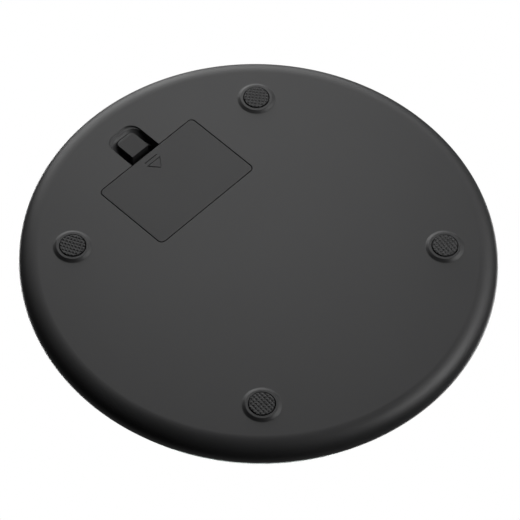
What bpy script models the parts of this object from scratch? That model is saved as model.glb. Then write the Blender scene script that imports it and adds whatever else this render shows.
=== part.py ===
"""Round electronic bathroom scale: a glass platform on a one-piece plastic base with four weighing feet.

Sizes are in metres. The origin is on the floor under the centre and +Z is up. The display is on the
top towards +Y, the battery door is in the underside towards -Y, and "front" in a name means -Y.
"""
import math

import bmesh
import bpy
from mathutils import Matrix, Vector

MM = 0.001
GAP = 0.3 * MM                          # clearance kept between pieces that rest on each other

# Overall form of the base
BODY_RADIUS = 150.0 * MM                # widest point of the rim
BODY_STEPS = 72                         # segments round the large turned pieces
UNDERSIDE_Z = 2.1 * MM                  # underside plane above the floor
UNDERSIDE_RADIUS = 137.2 * MM           # where the flat underside starts to curve up
WIDEST_Z = 12.1 * MM
RIM_TOP_Z = 16.3 * MM
RIM_TOP_RADIUS = 147.0 * MM
WALL = 2.2 * MM
INNER_FLOOR_Z = UNDERSIDE_Z + WALL
RIM_WALL_RADIUS = 144.6 * MM            # inner face of the rim
RING_RIB_RADII = (136.8 * MM, 139.4 * MM)
TROUGH_Z = 8.0 * MM                     # bottom of the trough between the ring rib and the rim
FLOOR_RIB_Y = 30.0 * MM                 # the two stiffening ribs across the floor
FLOOR_RIB_SIZE = (250.0 * MM, 1.6 * MM, 5.7 * MM)

# Platform stack
TAPE_THICKNESS = 0.5 * MM
TAPE_RADII = (135.4 * MM, 143.6 * MM)
FILM_THICKNESS = 0.2 * MM
LAYER_GAP = 0.2 * MM
GLASS_THICKNESS = 5.0 * MM
GLASS_RADIUS = 145.5 * MM
GLASS_EDGE = 0.8 * MM                   # ground chamfer on both edges
TAPE_Z = RIM_TOP_Z + LAYER_GAP
FILM_Z = TAPE_Z + TAPE_THICKNESS + LAYER_GAP
GLASS_Z = FILM_Z + FILM_THICKNESS + LAYER_GAP

# Weighing feet
FOOT_CIRCLE_RADIUS = 116.0 * MM
FOOT_OFFSET = FOOT_CIRCLE_RADIUS / math.sqrt(2.0)
COLLAR_Z = 0.8 * MM                     # lower face of the raised collar
COLLAR_RADIUS = 9.9 * MM
COLLAR_BASE_RADIUS = 11.7 * MM
COLLAR_HOLE_RADIUS = 8.3 * MM
PAD_RADIUS = 7.8 * MM
PAD_THICKNESS = 1.6 * MM
CUP_FLANGE_RADIUS = 11.0 * MM
CUP_BOSS_RADIUS = 4.0 * MM
CELL_SIDE = 32.0 * MM
CELL_THICKNESS = 1.6 * MM
CELL_Z = 8.0 * MM                       # lower face of the load cell
FOOT_TRAVEL = 0.5 * MM                  # bend of the load cell's tongue at full load
CORNERS = {
    "front_left": (-1, -1),
    "front_right": (1, -1),
    "back_right": (1, 1),
    "back_left": (-1, 1),
}

# Battery door and its latch, symmetric about X = 0
DOOR_HALF_WIDTH = 41.1 * MM
DOOR_OUTER_Y = -100.1 * MM              # long edge with the latch
DOOR_INNER_Y = -44.7 * MM               # long edge with the tongues
DOOR_THICKNESS = 1.8 * MM
DOOR_CORNER = 3.0 * MM
DOOR_GAP = 0.5 * MM
DOOR_CEILING_Z = 4.2 * MM               # the ledge the closed door lies against
LEDGE_TOP_Z = 5.7 * MM
LEDGE_MARGIN = 2.2 * MM
TONGUE_X = 35.5 * MM
TONGUE_WIDTH = 7.0 * MM
LATCH_HALF_WIDTH = 7.0 * MM
LATCH_WALL = 1.2 * MM
LATCH_GAP = 5.0 * MM                    # open inside of the U spring
LATCH_BEND_Z = 9.0 * MM
LATCH_PAD_Z = 2.5 * MM                  # lower face of the finger pad
LATCH_PAD_END_Y = -119.0 * MM
WELL_HALF_WIDTH = 12.0 * MM
WELL_OUTER_Y = -125.2 * MM
WELL_CORNER = 8.0 * MM
WELL_TOP_Z = 13.7 * MM
POCKET_WALL = 1.5 * MM

# Battery bay: four AAA cells side by side
BAY_HALF_WIDTH = 28.0 * MM
BAY_Y = (-97.1 * MM, -45.6 * MM)
BAY_TOP_Z = 15.2 * MM
BAY_WALL = 1.2 * MM
BATTERY_PITCH = 14.0 * MM
BATTERY_RADIUS = 5.25 * MM
BATTERY_LENGTH = 44.5 * MM
BATTERY_AXIS_Z = 9.6 * MM
CONTACT_THICKNESS = 0.5 * MM
CONTACT_HEIGHT = 8.5 * MM
SPRING_WIRE = 0.35 * MM                 # wire radius

# Display and electronics
DISPLAY_Y = 98.0 * MM
WINDOW_SIZE = (62.0 * MM, 32.0 * MM)
BOARD_SIZE = (88.0 * MM, 48.0 * MM, 1.6 * MM)
BOARD_Z = 8.0 * MM
POST_RADIUS = 3.0 * MM
POST_OFFSETS = (40.0 * MM, 19.0 * MM)
LEAD_RADIUS = 1.1 * MM
LEAD_Z = 12.2 * MM


# ---------------------------------------------------------------- scene and finishes

def clear_scene():
    for obj in list(bpy.data.objects):
        bpy.data.objects.remove(obj, do_unlink=True)


def new_collection(name):
    collection = bpy.data.collections.new(name)
    bpy.context.scene.collection.children.link(collection)
    return collection


def finish(name, colour, roughness, metallic=0.0):
    material = bpy.data.materials.new(name)
    material.use_nodes = True
    shader = material.node_tree.nodes["Principled BSDF"]
    shader.inputs["Base Color"].default_value = (*colour, 1.0)
    shader.inputs["Roughness"].default_value = roughness
    shader.inputs["Metallic"].default_value = metallic
    material.diffuse_color = (*colour, 1.0)
    return material


clear_scene()
PARTS = new_collection("bathroom_scale")
CUTTERS = new_collection("cutters")

FINISHES = {
    "base_plastic": finish("base_plastic", (0.055, 0.055, 0.056), 0.42),
    "door_plastic": finish("door_plastic", (0.050, 0.050, 0.051), 0.45),
    "latch_plastic": finish("latch_plastic", (0.050, 0.050, 0.051), 0.45),
    "pad_rubber": finish("pad_rubber", (0.030, 0.030, 0.031), 0.80),
    "cup_plastic": finish("cup_plastic", (0.040, 0.040, 0.040), 0.55),
    "platform_glass": finish("platform_glass", (0.60, 0.68, 0.66), 0.05),
    "film_print": finish("film_print", (0.012, 0.012, 0.013), 0.35),
    "foam_tape": finish("foam_tape", (0.70, 0.70, 0.68), 0.90),
    "cell_steel": finish("cell_steel", (0.62, 0.62, 0.60), 0.35, 1.0),
    "bracket_plastic": finish("bracket_plastic", (0.80, 0.80, 0.78), 0.55),
    "gauge_gel": finish("gauge_gel", (0.85, 0.85, 0.82), 0.50),
    "lead_sleeve": finish("lead_sleeve", (0.45, 0.04, 0.03), 0.50),
    "battery_jacket": finish("battery_jacket", (0.35, 0.36, 0.38), 0.30, 0.6),
    "contact_nickel": finish("contact_nickel", (0.75, 0.73, 0.70), 0.25, 1.0),
    "lcd_glass": finish("lcd_glass", (0.40, 0.45, 0.40), 0.15),
    "frame_plastic": finish("frame_plastic", (0.04, 0.04, 0.04), 0.55),
    "light_guide": finish("light_guide", (0.85, 0.87, 0.90), 0.40),
    "zebra_rubber": finish("zebra_rubber", (0.65, 0.35, 0.35), 0.70),
    "board_laminate": finish("board_laminate", (0.02, 0.18, 0.07), 0.45),
    "chip_epoxy": finish("chip_epoxy", (0.015, 0.015, 0.015), 0.40),
    "screw_steel": finish("screw_steel", (0.55, 0.55, 0.55), 0.30, 1.0),
}


# ---------------------------------------------------------------- modelling helpers

def add_object(name, mesh, finish_name=None, location=(0.0, 0.0, 0.0)):
    """Put a mesh in the parts collection, or among the cutters where no finish is named."""
    obj = bpy.data.objects.new(name, mesh)
    obj.location = location
    if finish_name is None:
        CUTTERS.objects.link(obj)
        obj.hide_render = True
        obj.display_type = "WIRE"
    else:
        PARTS.objects.link(obj)
        mesh.materials.clear()
        mesh.materials.append(FINISHES[finish_name])
    return obj


def mesh_of(name, build):
    """Make a mesh by running a bmesh building function."""
    mesh = bpy.data.meshes.new(name)
    bm = bmesh.new()
    build(bm)
    bm.to_mesh(mesh)
    bm.free()
    return mesh


def box(name, low, high, finish_name=None, bevel=0.0, origin=None, turn=0.0):
    """A box between two corners, with its origin at its middle unless one is given."""
    low, high = Vector(low), Vector(high)
    size = high - low
    middle = (low + high) / 2.0
    origin = middle if origin is None else Vector(origin)

    def build(bm):
        bmesh.ops.create_cube(bm, size=1.0)
        bmesh.ops.scale(bm, vec=size, verts=bm.verts)
        bmesh.ops.translate(bm, vec=middle - origin, verts=bm.verts)

    obj = add_object(name, mesh_of(name, build), finish_name, origin)
    obj.rotation_euler = (0.0, 0.0, turn)
    if bevel:
        modifier = obj.modifiers.new("edges", "BEVEL")
        modifier.width = bevel
        modifier.segments = 1
    return obj


def cylinder(name, centre, low_z, high_z, radius, steps, finish_name=None, top_radius=None):
    """An upright cylinder, or a cone where the top radius differs."""
    depth = high_z - low_z

    def build(bm):
        bmesh.ops.create_cone(
            bm, cap_ends=True, segments=steps, depth=depth,
            radius1=radius, radius2=radius if top_radius is None else top_radius,
        )

    location = (centre[0], centre[1], (low_z + high_z) / 2.0)
    return add_object(name, mesh_of(name, build), finish_name, location)


def turned(name, profile, steps, finish_name=None, location=(0.0, 0.0, 0.0), rotation=None):
    """Turn a profile of (radius, height) points, which run down the outer side, about its own axis."""
    closed = profile[0][0] > 0.0

    def build(bm):
        verts = [bm.verts.new((radius, 0.0, height)) for radius, height in profile]
        for first, second in zip(verts, verts[1:]):
            bm.edges.new((first, second))
        if closed:
            bm.edges.new((verts[-1], verts[0]))

    obj = add_object(name, mesh_of(name, build), finish_name, location)
    if rotation is not None:
        obj.rotation_euler = rotation
    screw = obj.modifiers.new("turn", "SCREW")
    screw.axis = "Z"
    screw.steps = steps
    screw.render_steps = steps
    screw.use_merge_vertices = True
    screw.merge_threshold = 0.00001
    return obj


def outline_solid(name, outlines, low, high, finish_name=None, location=(0.0, 0.0, 0.0),
                  rotation=(0.0, 0.0, 0.0)):
    """Fill flat outlines, the inner ones as holes, and give them thickness from low to high."""
    curve = bpy.data.curves.new(name, "CURVE")
    curve.dimensions = "2D"
    curve.fill_mode = "BOTH"
    curve.extrude = (high - low) / 2.0
    for outline in outlines:
        spline = curve.splines.new("POLY")
        spline.points.add(len(outline) - 1)
        for point, (x, y) in zip(spline.points, outline):
            point.co = (x, y, 0.0, 1.0)
        spline.use_cyclic_u = True
    guide = bpy.data.objects.new(name, curve)
    CUTTERS.objects.link(guide)
    mesh = bpy.data.meshes.new_from_object(guide.evaluated_get(bpy.context.evaluated_depsgraph_get()))
    bpy.data.objects.remove(guide, do_unlink=True)
    bm = bmesh.new()
    bm.from_mesh(mesh)
    bmesh.ops.remove_doubles(bm, verts=bm.verts, dist=0.00001)
    bmesh.ops.translate(bm, vec=(0.0, 0.0, (low + high) / 2.0), verts=bm.verts)
    bmesh.ops.recalc_face_normals(bm, faces=bm.faces)
    bm.to_mesh(mesh)
    bm.free()
    obj = add_object(name, mesh, finish_name, location)
    obj.rotation_euler = rotation
    return obj


def tube(name, points, radius, finish_name, bevel_resolution=2):
    """A round wire along a list of points, with filled ends."""
    curve = bpy.data.curves.new(name, "CURVE")
    curve.dimensions = "3D"
    curve.bevel_depth = radius
    curve.bevel_resolution = bevel_resolution
    curve.use_fill_caps = True
    spline = curve.splines.new("POLY")
    spline.points.add(len(points) - 1)
    for point, position in zip(spline.points, points):
        point.co = (*position, 1.0)
    curve.materials.append(FINISHES[finish_name])
    obj = bpy.data.objects.new(name, curve)
    PARTS.objects.link(obj)
    return obj


def combine(target, tool, operation):
    """Add a live Boolean: UNION, DIFFERENCE or INTERSECT."""
    modifier = target.modifiers.new(operation.lower(), "BOOLEAN")
    modifier.operation = operation
    modifier.solver = "EXACT"
    modifier.object = tool


def arc(centre, radii, start, end, steps):
    """Points on an arc of an ellipse, angles in degrees, both ends included."""
    points = []
    for step in range(steps + 1):
        angle = math.radians(start + (end - start) * step / steps)
        points.append((centre[0] + radii[0] * math.cos(angle), centre[1] + radii[1] * math.sin(angle)))
    return points


def rounded_rectangle(low, high, corner, steps=4):
    """Outline of a rectangle with round corners, anticlockwise."""
    points = []
    centres = (
        (high[0] - corner, high[1] - corner),
        (low[0] + corner, high[1] - corner),
        (low[0] + corner, low[1] + corner),
        (high[0] - corner, low[1] + corner),
    )
    for index, centre in enumerate(centres):
        points += arc(centre, (corner, corner), 90.0 * index, 90.0 * (index + 1), steps)
    return points


def smooth_path(anchors, pieces):
    """Points along a Catmull-Rom curve through the anchors."""
    ends = [anchors[0], *anchors, anchors[-1]]
    path = []
    for before, start, end, after in zip(ends, ends[1:], ends[2:], ends[3:]):
        for piece in range(pieces):
            t = piece / pieces
            path.append(tuple(
                0.5 * (2 * b + (c - a) * t + (2 * a - 5 * b + 4 * c - d) * t * t
                       + (3 * b - a - 3 * c + d) * t ** 3)
                for a, b, c, d in zip(before, start, end, after)
            ))
    path.append(anchors[-1])
    return path


# ---------------------------------------------------------------- base shell

def shell_profile():
    """Section of the base, from the floor's middle over the rim to the underside's middle."""
    inner_curve = arc(
        (UNDERSIDE_RADIUS - WALL, TROUGH_Z), (RING_RIB_RADII[0] - UNDERSIDE_RADIUS + WALL,
                                               TROUGH_Z - INNER_FLOOR_Z), -90.0, 0.0, 2)
    upper_curve = arc(
        (RIM_TOP_RADIUS, WIDEST_Z), (BODY_RADIUS - RIM_TOP_RADIUS, RIM_TOP_Z - WIDEST_Z), 90.0, 0.0, 4)
    lower_curve = arc(
        (UNDERSIDE_RADIUS, WIDEST_Z), (BODY_RADIUS - UNDERSIDE_RADIUS, WIDEST_Z - UNDERSIDE_Z),
        0.0, -90.0, 7)
    return [
        (0.0, INNER_FLOOR_Z),
        *inner_curve,
        (RING_RIB_RADII[0], RIM_TOP_Z),
        (RING_RIB_RADII[1], RIM_TOP_Z),
        (RING_RIB_RADII[1], TROUGH_Z),
        (RIM_WALL_RADIUS - WALL, TROUGH_Z),
        (RIM_WALL_RADIUS, TROUGH_Z + WALL),
        (RIM_WALL_RADIUS, RIM_TOP_Z),
        *upper_curve,
        *lower_curve[1:],
        (0.0, UNDERSIDE_Z),
    ]


def latch_well_cutter():
    """The finger well: a rounded slot whose outer end is a scoop that runs in under the latch."""
    outline = [(WELL_HALF_WIDTH, BAY_Y[0] - BAY_WALL), (-WELL_HALF_WIDTH, BAY_Y[0] - BAY_WALL)]
    corner_y = WELL_OUTER_Y + WELL_CORNER
    inset = WELL_HALF_WIDTH - WELL_CORNER
    outline += arc((-inset, corner_y), (WELL_CORNER, WELL_CORNER), 180.0, 270.0, 6)
    outline += arc((inset, corner_y), (WELL_CORNER, WELL_CORNER), 270.0, 360.0, 6)
    well = outline_solid("cut_latch_well", [outline], -1.0 * MM, WELL_TOP_Z)
    steep_z = 6.5 * MM
    scoop_radius = 4.0 * MM
    steep_y = WELL_OUTER_Y + 0.8 * MM
    scoop = [(WELL_OUTER_Y - MM, -2.0 * MM), (WELL_OUTER_Y, UNDERSIDE_Z)]
    scoop += arc((steep_y + scoop_radius, steep_z), (scoop_radius, scoop_radius), 180.0, 90.0, 5)
    scoop += [(-113.0 * MM, steep_z + scoop_radius), (-111.0 * MM, WELL_TOP_Z + MM)]
    scoop += [(BAY_Y[0], WELL_TOP_Z + MM), (BAY_Y[0], -2.0 * MM)]
    side = WELL_HALF_WIDTH + 2.0 * MM
    scoop_solid = outline_solid(
        "cut_scoop", [scoop], -side, side, rotation=(math.pi / 2.0, 0.0, math.pi / 2.0))
    combine(well, scoop_solid, "INTERSECT")
    return well


def build_base_shell():
    shell = turned("base_shell", shell_profile(), BODY_STEPS, "base_plastic")
    inside = UNDERSIDE_Z + WALL / 2.0
    slope = (COLLAR_BASE_RADIUS - COLLAR_RADIUS) / (UNDERSIDE_Z - COLLAR_Z)
    root_z = UNDERSIDE_Z + 0.4 * MM
    for corner, (side_x, side_y) in CORNERS.items():
        centre = (side_x * FOOT_OFFSET, side_y * FOOT_OFFSET)
        collar = cylinder(
            "collar_" + corner, centre, COLLAR_Z, root_z, COLLAR_RADIUS, 32,
            top_radius=COLLAR_RADIUS + slope * (root_z - COLLAR_Z))
        combine(shell, collar, "UNION")

    blocks = [
        box("door_ledge",
            (-DOOR_HALF_WIDTH - DOOR_GAP - LEDGE_MARGIN, DOOR_OUTER_Y - DOOR_GAP - LEDGE_MARGIN, inside),
            (DOOR_HALF_WIDTH + DOOR_GAP + LEDGE_MARGIN, DOOR_INNER_Y + DOOR_GAP + LEDGE_MARGIN, LEDGE_TOP_Z)),
        box("bay_block",
            (-BAY_HALF_WIDTH - BAY_WALL, BAY_Y[0] - BAY_WALL, inside),
            (BAY_HALF_WIDTH + BAY_WALL, BAY_Y[1] + BAY_WALL, BAY_TOP_Z + 1.0 * MM)),
        box("well_block",
            (-WELL_HALF_WIDTH - POCKET_WALL, WELL_OUTER_Y - POCKET_WALL, inside),
            (WELL_HALF_WIDTH + POCKET_WALL, BAY_Y[0] - BAY_WALL / 2.0, WELL_TOP_Z + POCKET_WALL)),
    ]
    for side in (-1, 1):
        half_length, half_width = FLOOR_RIB_SIZE[0] / 2.0, FLOOR_RIB_SIZE[1] / 2.0
        blocks.append(box(
            "floor_rib",
            (-half_length, side * FLOOR_RIB_Y - half_width, inside),
            (half_length, side * FLOOR_RIB_Y + half_width, inside + FLOOR_RIB_SIZE[2])))
    for side_x in (-1, 1):
        for side_y in (-1, 1):
            centre = (side_x * POST_OFFSETS[0], DISPLAY_Y + side_y * POST_OFFSETS[1])
            blocks.append(cylinder("post", centre, inside, BOARD_Z - GAP, POST_RADIUS, 12))
    for block in blocks:
        combine(shell, block, "UNION")

    door_low = (-DOOR_HALF_WIDTH - DOOR_GAP, DOOR_OUTER_Y - DOOR_GAP)
    door_high = (DOOR_HALF_WIDTH + DOOR_GAP, DOOR_INNER_Y + DOOR_GAP)
    cuts = [
        outline_solid("cut_door", [rounded_rectangle(door_low, door_high, DOOR_CORNER + DOOR_GAP)],
                      -1.0 * MM, DOOR_CEILING_Z),
        box("cut_bay", (-BAY_HALF_WIDTH, BAY_Y[0], inside), (BAY_HALF_WIDTH, BAY_Y[1], BAY_TOP_Z)),
        latch_well_cutter(),
    ]
    pocket_margin = 0.7 * MM
    for side in (-1, 1):
        half = TONGUE_WIDTH / 2.0 + pocket_margin
        cuts.append(box(
            "cut_tongue",
            (side * TONGUE_X - half, DOOR_INNER_Y - 4.3 * MM, inside),
            (side * TONGUE_X + half, DOOR_INNER_Y + 2.2 * MM, LEDGE_TOP_Z + MM)))
    for corner, (side_x, side_y) in CORNERS.items():
        centre = (side_x * FOOT_OFFSET, side_y * FOOT_OFFSET)
        cuts.append(cylinder("cut_foot_" + corner, centre, 0.0, 2.0 * INNER_FLOOR_Z, COLLAR_HOLE_RADIUS, 32))
    for cutter in cuts:
        combine(shell, cutter, "DIFFERENCE")

    for index in (-1, 0, 1):
        rib = box(
            "battery_rib",
            (index * BATTERY_PITCH - 0.8 * MM, BAY_Y[0] + 6.0 * MM, BATTERY_AXIS_Z),
            (index * BATTERY_PITCH + 0.8 * MM, BAY_Y[1] - 6.0 * MM, BAY_TOP_Z + 0.5 * MM))
        combine(shell, rib, "UNION")
    return shell


# ---------------------------------------------------------------- platform

def build_platform():
    top = GLASS_THICKNESS
    turned("glass_platform", [
        (0.0, top),
        (GLASS_RADIUS - GLASS_EDGE, top),
        (GLASS_RADIUS, top - GLASS_EDGE),
        (GLASS_RADIUS, GLASS_EDGE),
        (GLASS_RADIUS - GLASS_EDGE, 0.0),
        (0.0, 0.0),
    ], BODY_STEPS, "platform_glass", (0.0, 0.0, GLASS_Z))
    edge = GLASS_RADIUS - 1.5 * MM
    window = rounded_rectangle(
        (-WINDOW_SIZE[0] / 2.0, DISPLAY_Y - WINDOW_SIZE[1] / 2.0),
        (WINDOW_SIZE[0] / 2.0, DISPLAY_Y + WINDOW_SIZE[1] / 2.0), 2.0 * MM, 2)
    disc = arc((0.0, 0.0), (edge, edge), 0.0, 360.0, BODY_STEPS)[:-1]
    outline_solid("backing_film", [disc, window], 0.0, FILM_THICKNESS, "film_print", (0.0, 0.0, FILM_Z))
    turned("adhesive_ring", [
        (TAPE_RADII[0], TAPE_THICKNESS),
        (TAPE_RADII[1], TAPE_THICKNESS),
        (TAPE_RADII[1], 0.0),
        (TAPE_RADII[0], 0.0),
    ], BODY_STEPS, "foam_tape", (0.0, 0.0, TAPE_Z))


# ---------------------------------------------------------------- weighing feet

def build_foot(corner, side_x, side_y):
    """One corner: the rubber pad and its cup, which travel, and the load cell above them."""
    x, y = side_x * FOOT_OFFSET, side_y * FOOT_OFFSET
    edge = 0.3 * MM
    turned("foot_pad_" + corner, [
        (0.0, PAD_THICKNESS),
        (PAD_RADIUS, PAD_THICKNESS),
        (PAD_RADIUS, edge),
        (PAD_RADIUS - edge, 0.0),
        (0.0, 0.0),
    ], 32, "pad_rubber", (x, y, 0.0))

    flange_z = INNER_FLOOR_Z + GAP
    boss_top = CELL_Z - GAP - FOOT_TRAVEL
    turned("foot_cup_" + corner, [
        (0.0, boss_top),
        (CUP_BOSS_RADIUS, boss_top),
        (CUP_BOSS_RADIUS, flange_z + 1.2 * MM),
        (CUP_FLANGE_RADIUS, flange_z + 1.2 * MM),
        (CUP_FLANGE_RADIUS, flange_z),
        (PAD_RADIUS, flange_z),
        (PAD_RADIUS, PAD_THICKNESS + GAP),
        (0.0, PAD_THICKNESS + GAP),
    ], 24, "cup_plastic", (x, y, 0.0))

    turn = (0.0, 0.0, math.atan2(y, x))
    half = CELL_SIDE / 2.0
    slot_half, slot_depth, tongue_half, slot_width = 11.0 * MM, 11.0 * MM, 6.0 * MM, 2.0 * MM
    slot = [
        (-slot_depth, -slot_half), (slot_half, -slot_half), (slot_half, slot_half),
        (-slot_depth, slot_half), (-slot_depth, slot_half - slot_width),
        (slot_half - slot_width, slot_half - slot_width), (slot_half - slot_width, -tongue_half),
        (-slot_depth, -tongue_half),
    ]
    plate = rounded_rectangle((-half, -half), (half, half), 3.0 * MM, 2)
    outline_solid("load_cell_" + corner, [plate, slot], 0.0, CELL_THICKNESS, "cell_steel",
                  (x, y, CELL_Z), turn)

    outer = rounded_rectangle((-half, -half), (half, half), 3.0 * MM, 2)
    inner_half = half - 3.4 * MM
    inner = rounded_rectangle((-inner_half, -inner_half), (inner_half, inner_half), 2.0 * MM, 2)
    bracket_z = INNER_FLOOR_Z + GAP
    outline_solid("cell_bracket_" + corner, [outer, inner], 0.0, CELL_Z - GAP - bracket_z,
                  "bracket_plastic", (x, y, bracket_z), turn)

    gauge_z = CELL_Z + CELL_THICKNESS + GAP
    gauge = Vector((x, y, gauge_z))
    half_gauge = Vector((4.0 * MM, 3.0 * MM, 0.0))
    box("strain_gauge_" + corner, gauge - half_gauge, gauge + half_gauge + Vector((0.0, 0.0, 0.8 * MM)),
        "gauge_gel", turn=turn[2])


def build_cell_leads():
    """One three-core lead from each load cell to the main board, laid over the floor ribs."""
    start = FOOT_OFFSET - 6.0 * MM
    board_x = BOARD_SIZE[0] / 2.0 + 2.0 * MM
    far_y, near_y = DISPLAY_Y - 8.0 * MM, DISPLAY_Y - 16.0 * MM
    for side, name in ((-1, "left"), (1, "right")):
        back = [(side * start, start, LEAD_Z), (side * 64.0 * MM, 84.0 * MM, LEAD_Z),
                (side * board_x, far_y, LEAD_Z)]
        front = [(side * start, -start, LEAD_Z), (side * 66.0 * MM, -40.0 * MM, LEAD_Z),
                 (side * 60.0 * MM, 20.0 * MM, LEAD_Z), (side * 52.0 * MM, 60.0 * MM, LEAD_Z),
                 (side * board_x, near_y, LEAD_Z)]
        tube("cell_lead_back_" + name, smooth_path(back, 4), LEAD_RADIUS, "lead_sleeve", 1)
        tube("cell_lead_front_" + name, smooth_path(front, 4), LEAD_RADIUS, "lead_sleeve", 1)


# ---------------------------------------------------------------- battery door and latch

def build_battery_door():
    """The flush door, its two tongues, and the inner leg of the latch's U spring."""
    pivot = Vector((0.0, DOOR_INNER_Y + DOOR_GAP / 2.0, UNDERSIDE_Z))
    outline = rounded_rectangle(
        (-DOOR_HALF_WIDTH, DOOR_OUTER_Y - pivot.y), (DOOR_HALF_WIDTH, DOOR_INNER_Y - pivot.y), DOOR_CORNER)
    door = outline_solid("battery_door", [outline], 0.0, DOOR_THICKNESS, "door_plastic", pivot)
    inside = UNDERSIDE_Z + DOOR_THICKNESS / 2.0
    leg = box(
        "latch_leg",
        (-LATCH_HALF_WIDTH, DOOR_OUTER_Y + 0.02 * MM, inside),
        (LATCH_HALF_WIDTH, DOOR_OUTER_Y + LATCH_WALL, LATCH_BEND_Z - GAP))
    combine(door, leg, "UNION")
    for side in (-1, 1):
        half = TONGUE_WIDTH / 2.0
        tongue = outline_solid(
            "tongue", [[
                (DOOR_INNER_Y - 3.0 * MM, inside),
                (DOOR_INNER_Y - 0.5 * MM, inside),
                (DOOR_INNER_Y - 0.5 * MM, INNER_FLOOR_Z + GAP),
                (DOOR_INNER_Y + 1.8 * MM, INNER_FLOOR_Z + GAP),
                (DOOR_INNER_Y + 1.8 * MM, INNER_FLOOR_Z + 1.3 * MM),
                (DOOR_INNER_Y - 3.0 * MM, INNER_FLOOR_Z + 1.3 * MM),
            ]], -half, half, location=(side * TONGUE_X, 0.0, 0.0),
            rotation=(math.pi / 2.0, 0.0, math.pi / 2.0))
        combine(door, tongue, "UNION")
    return door


def build_door_latch():
    """Bend, outer leg and finger pad of the U spring, drawn in the YZ plane about the bend's centre."""
    pivot_y = DOOR_OUTER_Y - LATCH_GAP / 2.0
    inner, outer = LATCH_GAP / 2.0, LATCH_GAP / 2.0 + LATCH_WALL
    pad_z = LATCH_PAD_Z - LATCH_BEND_Z
    pad_end = LATCH_PAD_END_Y - pivot_y
    roll = 2.6 * MM
    roll_centre = (pad_end + roll, pad_z + roll)
    profile = arc((0.0, 0.0), (inner, inner), 0.0, 180.0, 8)
    profile += [(-inner, pad_z)]
    profile += arc(roll_centre, (roll, roll), 270.0, 180.0, 4)
    profile += [(pad_end, pad_z + 4.2 * MM), (pad_end + LATCH_WALL, pad_z + 4.2 * MM)]
    profile += arc(roll_centre, (roll - LATCH_WALL, roll - LATCH_WALL), 180.0, 270.0, 3)
    profile += [(-outer, pad_z + LATCH_WALL)]
    profile += arc((0.0, 0.0), (outer, outer), 180.0, 0.0, 8)
    outline_solid(
        "door_latch", [profile], -LATCH_HALF_WIDTH, LATCH_HALF_WIDTH, "latch_plastic",
        (0.0, pivot_y, LATCH_BEND_Z), (math.pi / 2.0, 0.0, math.pi / 2.0))


# ---------------------------------------------------------------- batteries and contacts

def build_battery(number, x, direction):
    """One AAA cell with its plus end towards direction (+1 is +Y), and the spring behind it."""
    plate_face = BAY_Y[1] - GAP - CONTACT_THICKNESS if direction > 0 else BAY_Y[0] + GAP + CONTACT_THICKNESS
    tip_y = plate_face - direction * GAP
    nub, nub_radius, edge = 0.9 * MM, 1.9 * MM, 0.4 * MM
    turn = (-direction * math.pi / 2.0, 0.0, 0.0)
    turned("battery_{}".format(number), [
        (0.0, 0.0),
        (nub_radius, 0.0),
        (nub_radius, -nub),
        (BATTERY_RADIUS - edge, -nub),
        (BATTERY_RADIUS, -nub - edge),
        (BATTERY_RADIUS, -BATTERY_LENGTH),
        (0.0, -BATTERY_LENGTH),
    ], 20, "battery_jacket", (x, tip_y, BATTERY_AXIS_Z), turn)

    far_face = BAY_Y[0] + GAP + CONTACT_THICKNESS if direction > 0 else BAY_Y[1] - GAP - CONTACT_THICKNESS
    wide_y = far_face + direction * (GAP + SPRING_WIRE)
    narrow_y = tip_y - direction * (BATTERY_LENGTH + GAP + SPRING_WIRE)
    turns, per_turn = 2.5, 10
    count = int(turns * per_turn)
    coil = []
    for step in range(count + 1):
        share = step / count
        radius = (3.6 - 1.4 * share) * MM
        angle = 2.0 * math.pi * turns * share
        coil.append((x + radius * math.cos(angle), wide_y + (narrow_y - wide_y) * share,
                     BATTERY_AXIS_Z + radius * math.sin(angle)))
    tube("contact_spring_{}".format(number), coil, SPRING_WIRE, "contact_nickel", 1)


def build_contacts():
    """Five sheet contacts that put the four cells in series."""
    half_single = 4.5 * MM
    half_double = BATTERY_PITCH / 2.0 + half_single
    outer_x = 1.5 * BATTERY_PITCH
    places = (
        ("contact_back_left", -outer_x, half_single, 1),
        ("contact_back_middle", 0.0, half_double, 1),
        ("contact_back_right", outer_x, half_single, 1),
        ("contact_front_left", -BATTERY_PITCH, half_double, -1),
        ("contact_front_right", BATTERY_PITCH, half_double, -1),
    )
    for name, x, half, side in places:
        low_y = BAY_Y[1] - GAP - CONTACT_THICKNESS if side > 0 else BAY_Y[0] + GAP
        box(name,
            (x - half, low_y, BATTERY_AXIS_Z - CONTACT_HEIGHT / 2.0),
            (x + half, low_y + CONTACT_THICKNESS, BATTERY_AXIS_Z + CONTACT_HEIGHT / 2.0),
            "contact_nickel")


def build_battery_leads():
    """The supply pair, from the outer back contacts to the main board."""
    start_y = BAY_Y[1] + BAY_WALL + GAP + LEAD_RADIUS
    end_y = DISPLAY_Y - BOARD_SIZE[1] / 2.0 - 2.0 * MM
    for side, name in ((-1, "left"), (1, "right")):
        x = side * 1.5 * BATTERY_PITCH
        anchors = [(x, start_y, LEAD_Z), (x * 1.1, 0.0, LEAD_Z), (x * 1.2, end_y, LEAD_Z)]
        tube("battery_lead_" + name, smooth_path(anchors, 5), LEAD_RADIUS, "lead_sleeve", 1)


# ---------------------------------------------------------------- display and board

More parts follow.
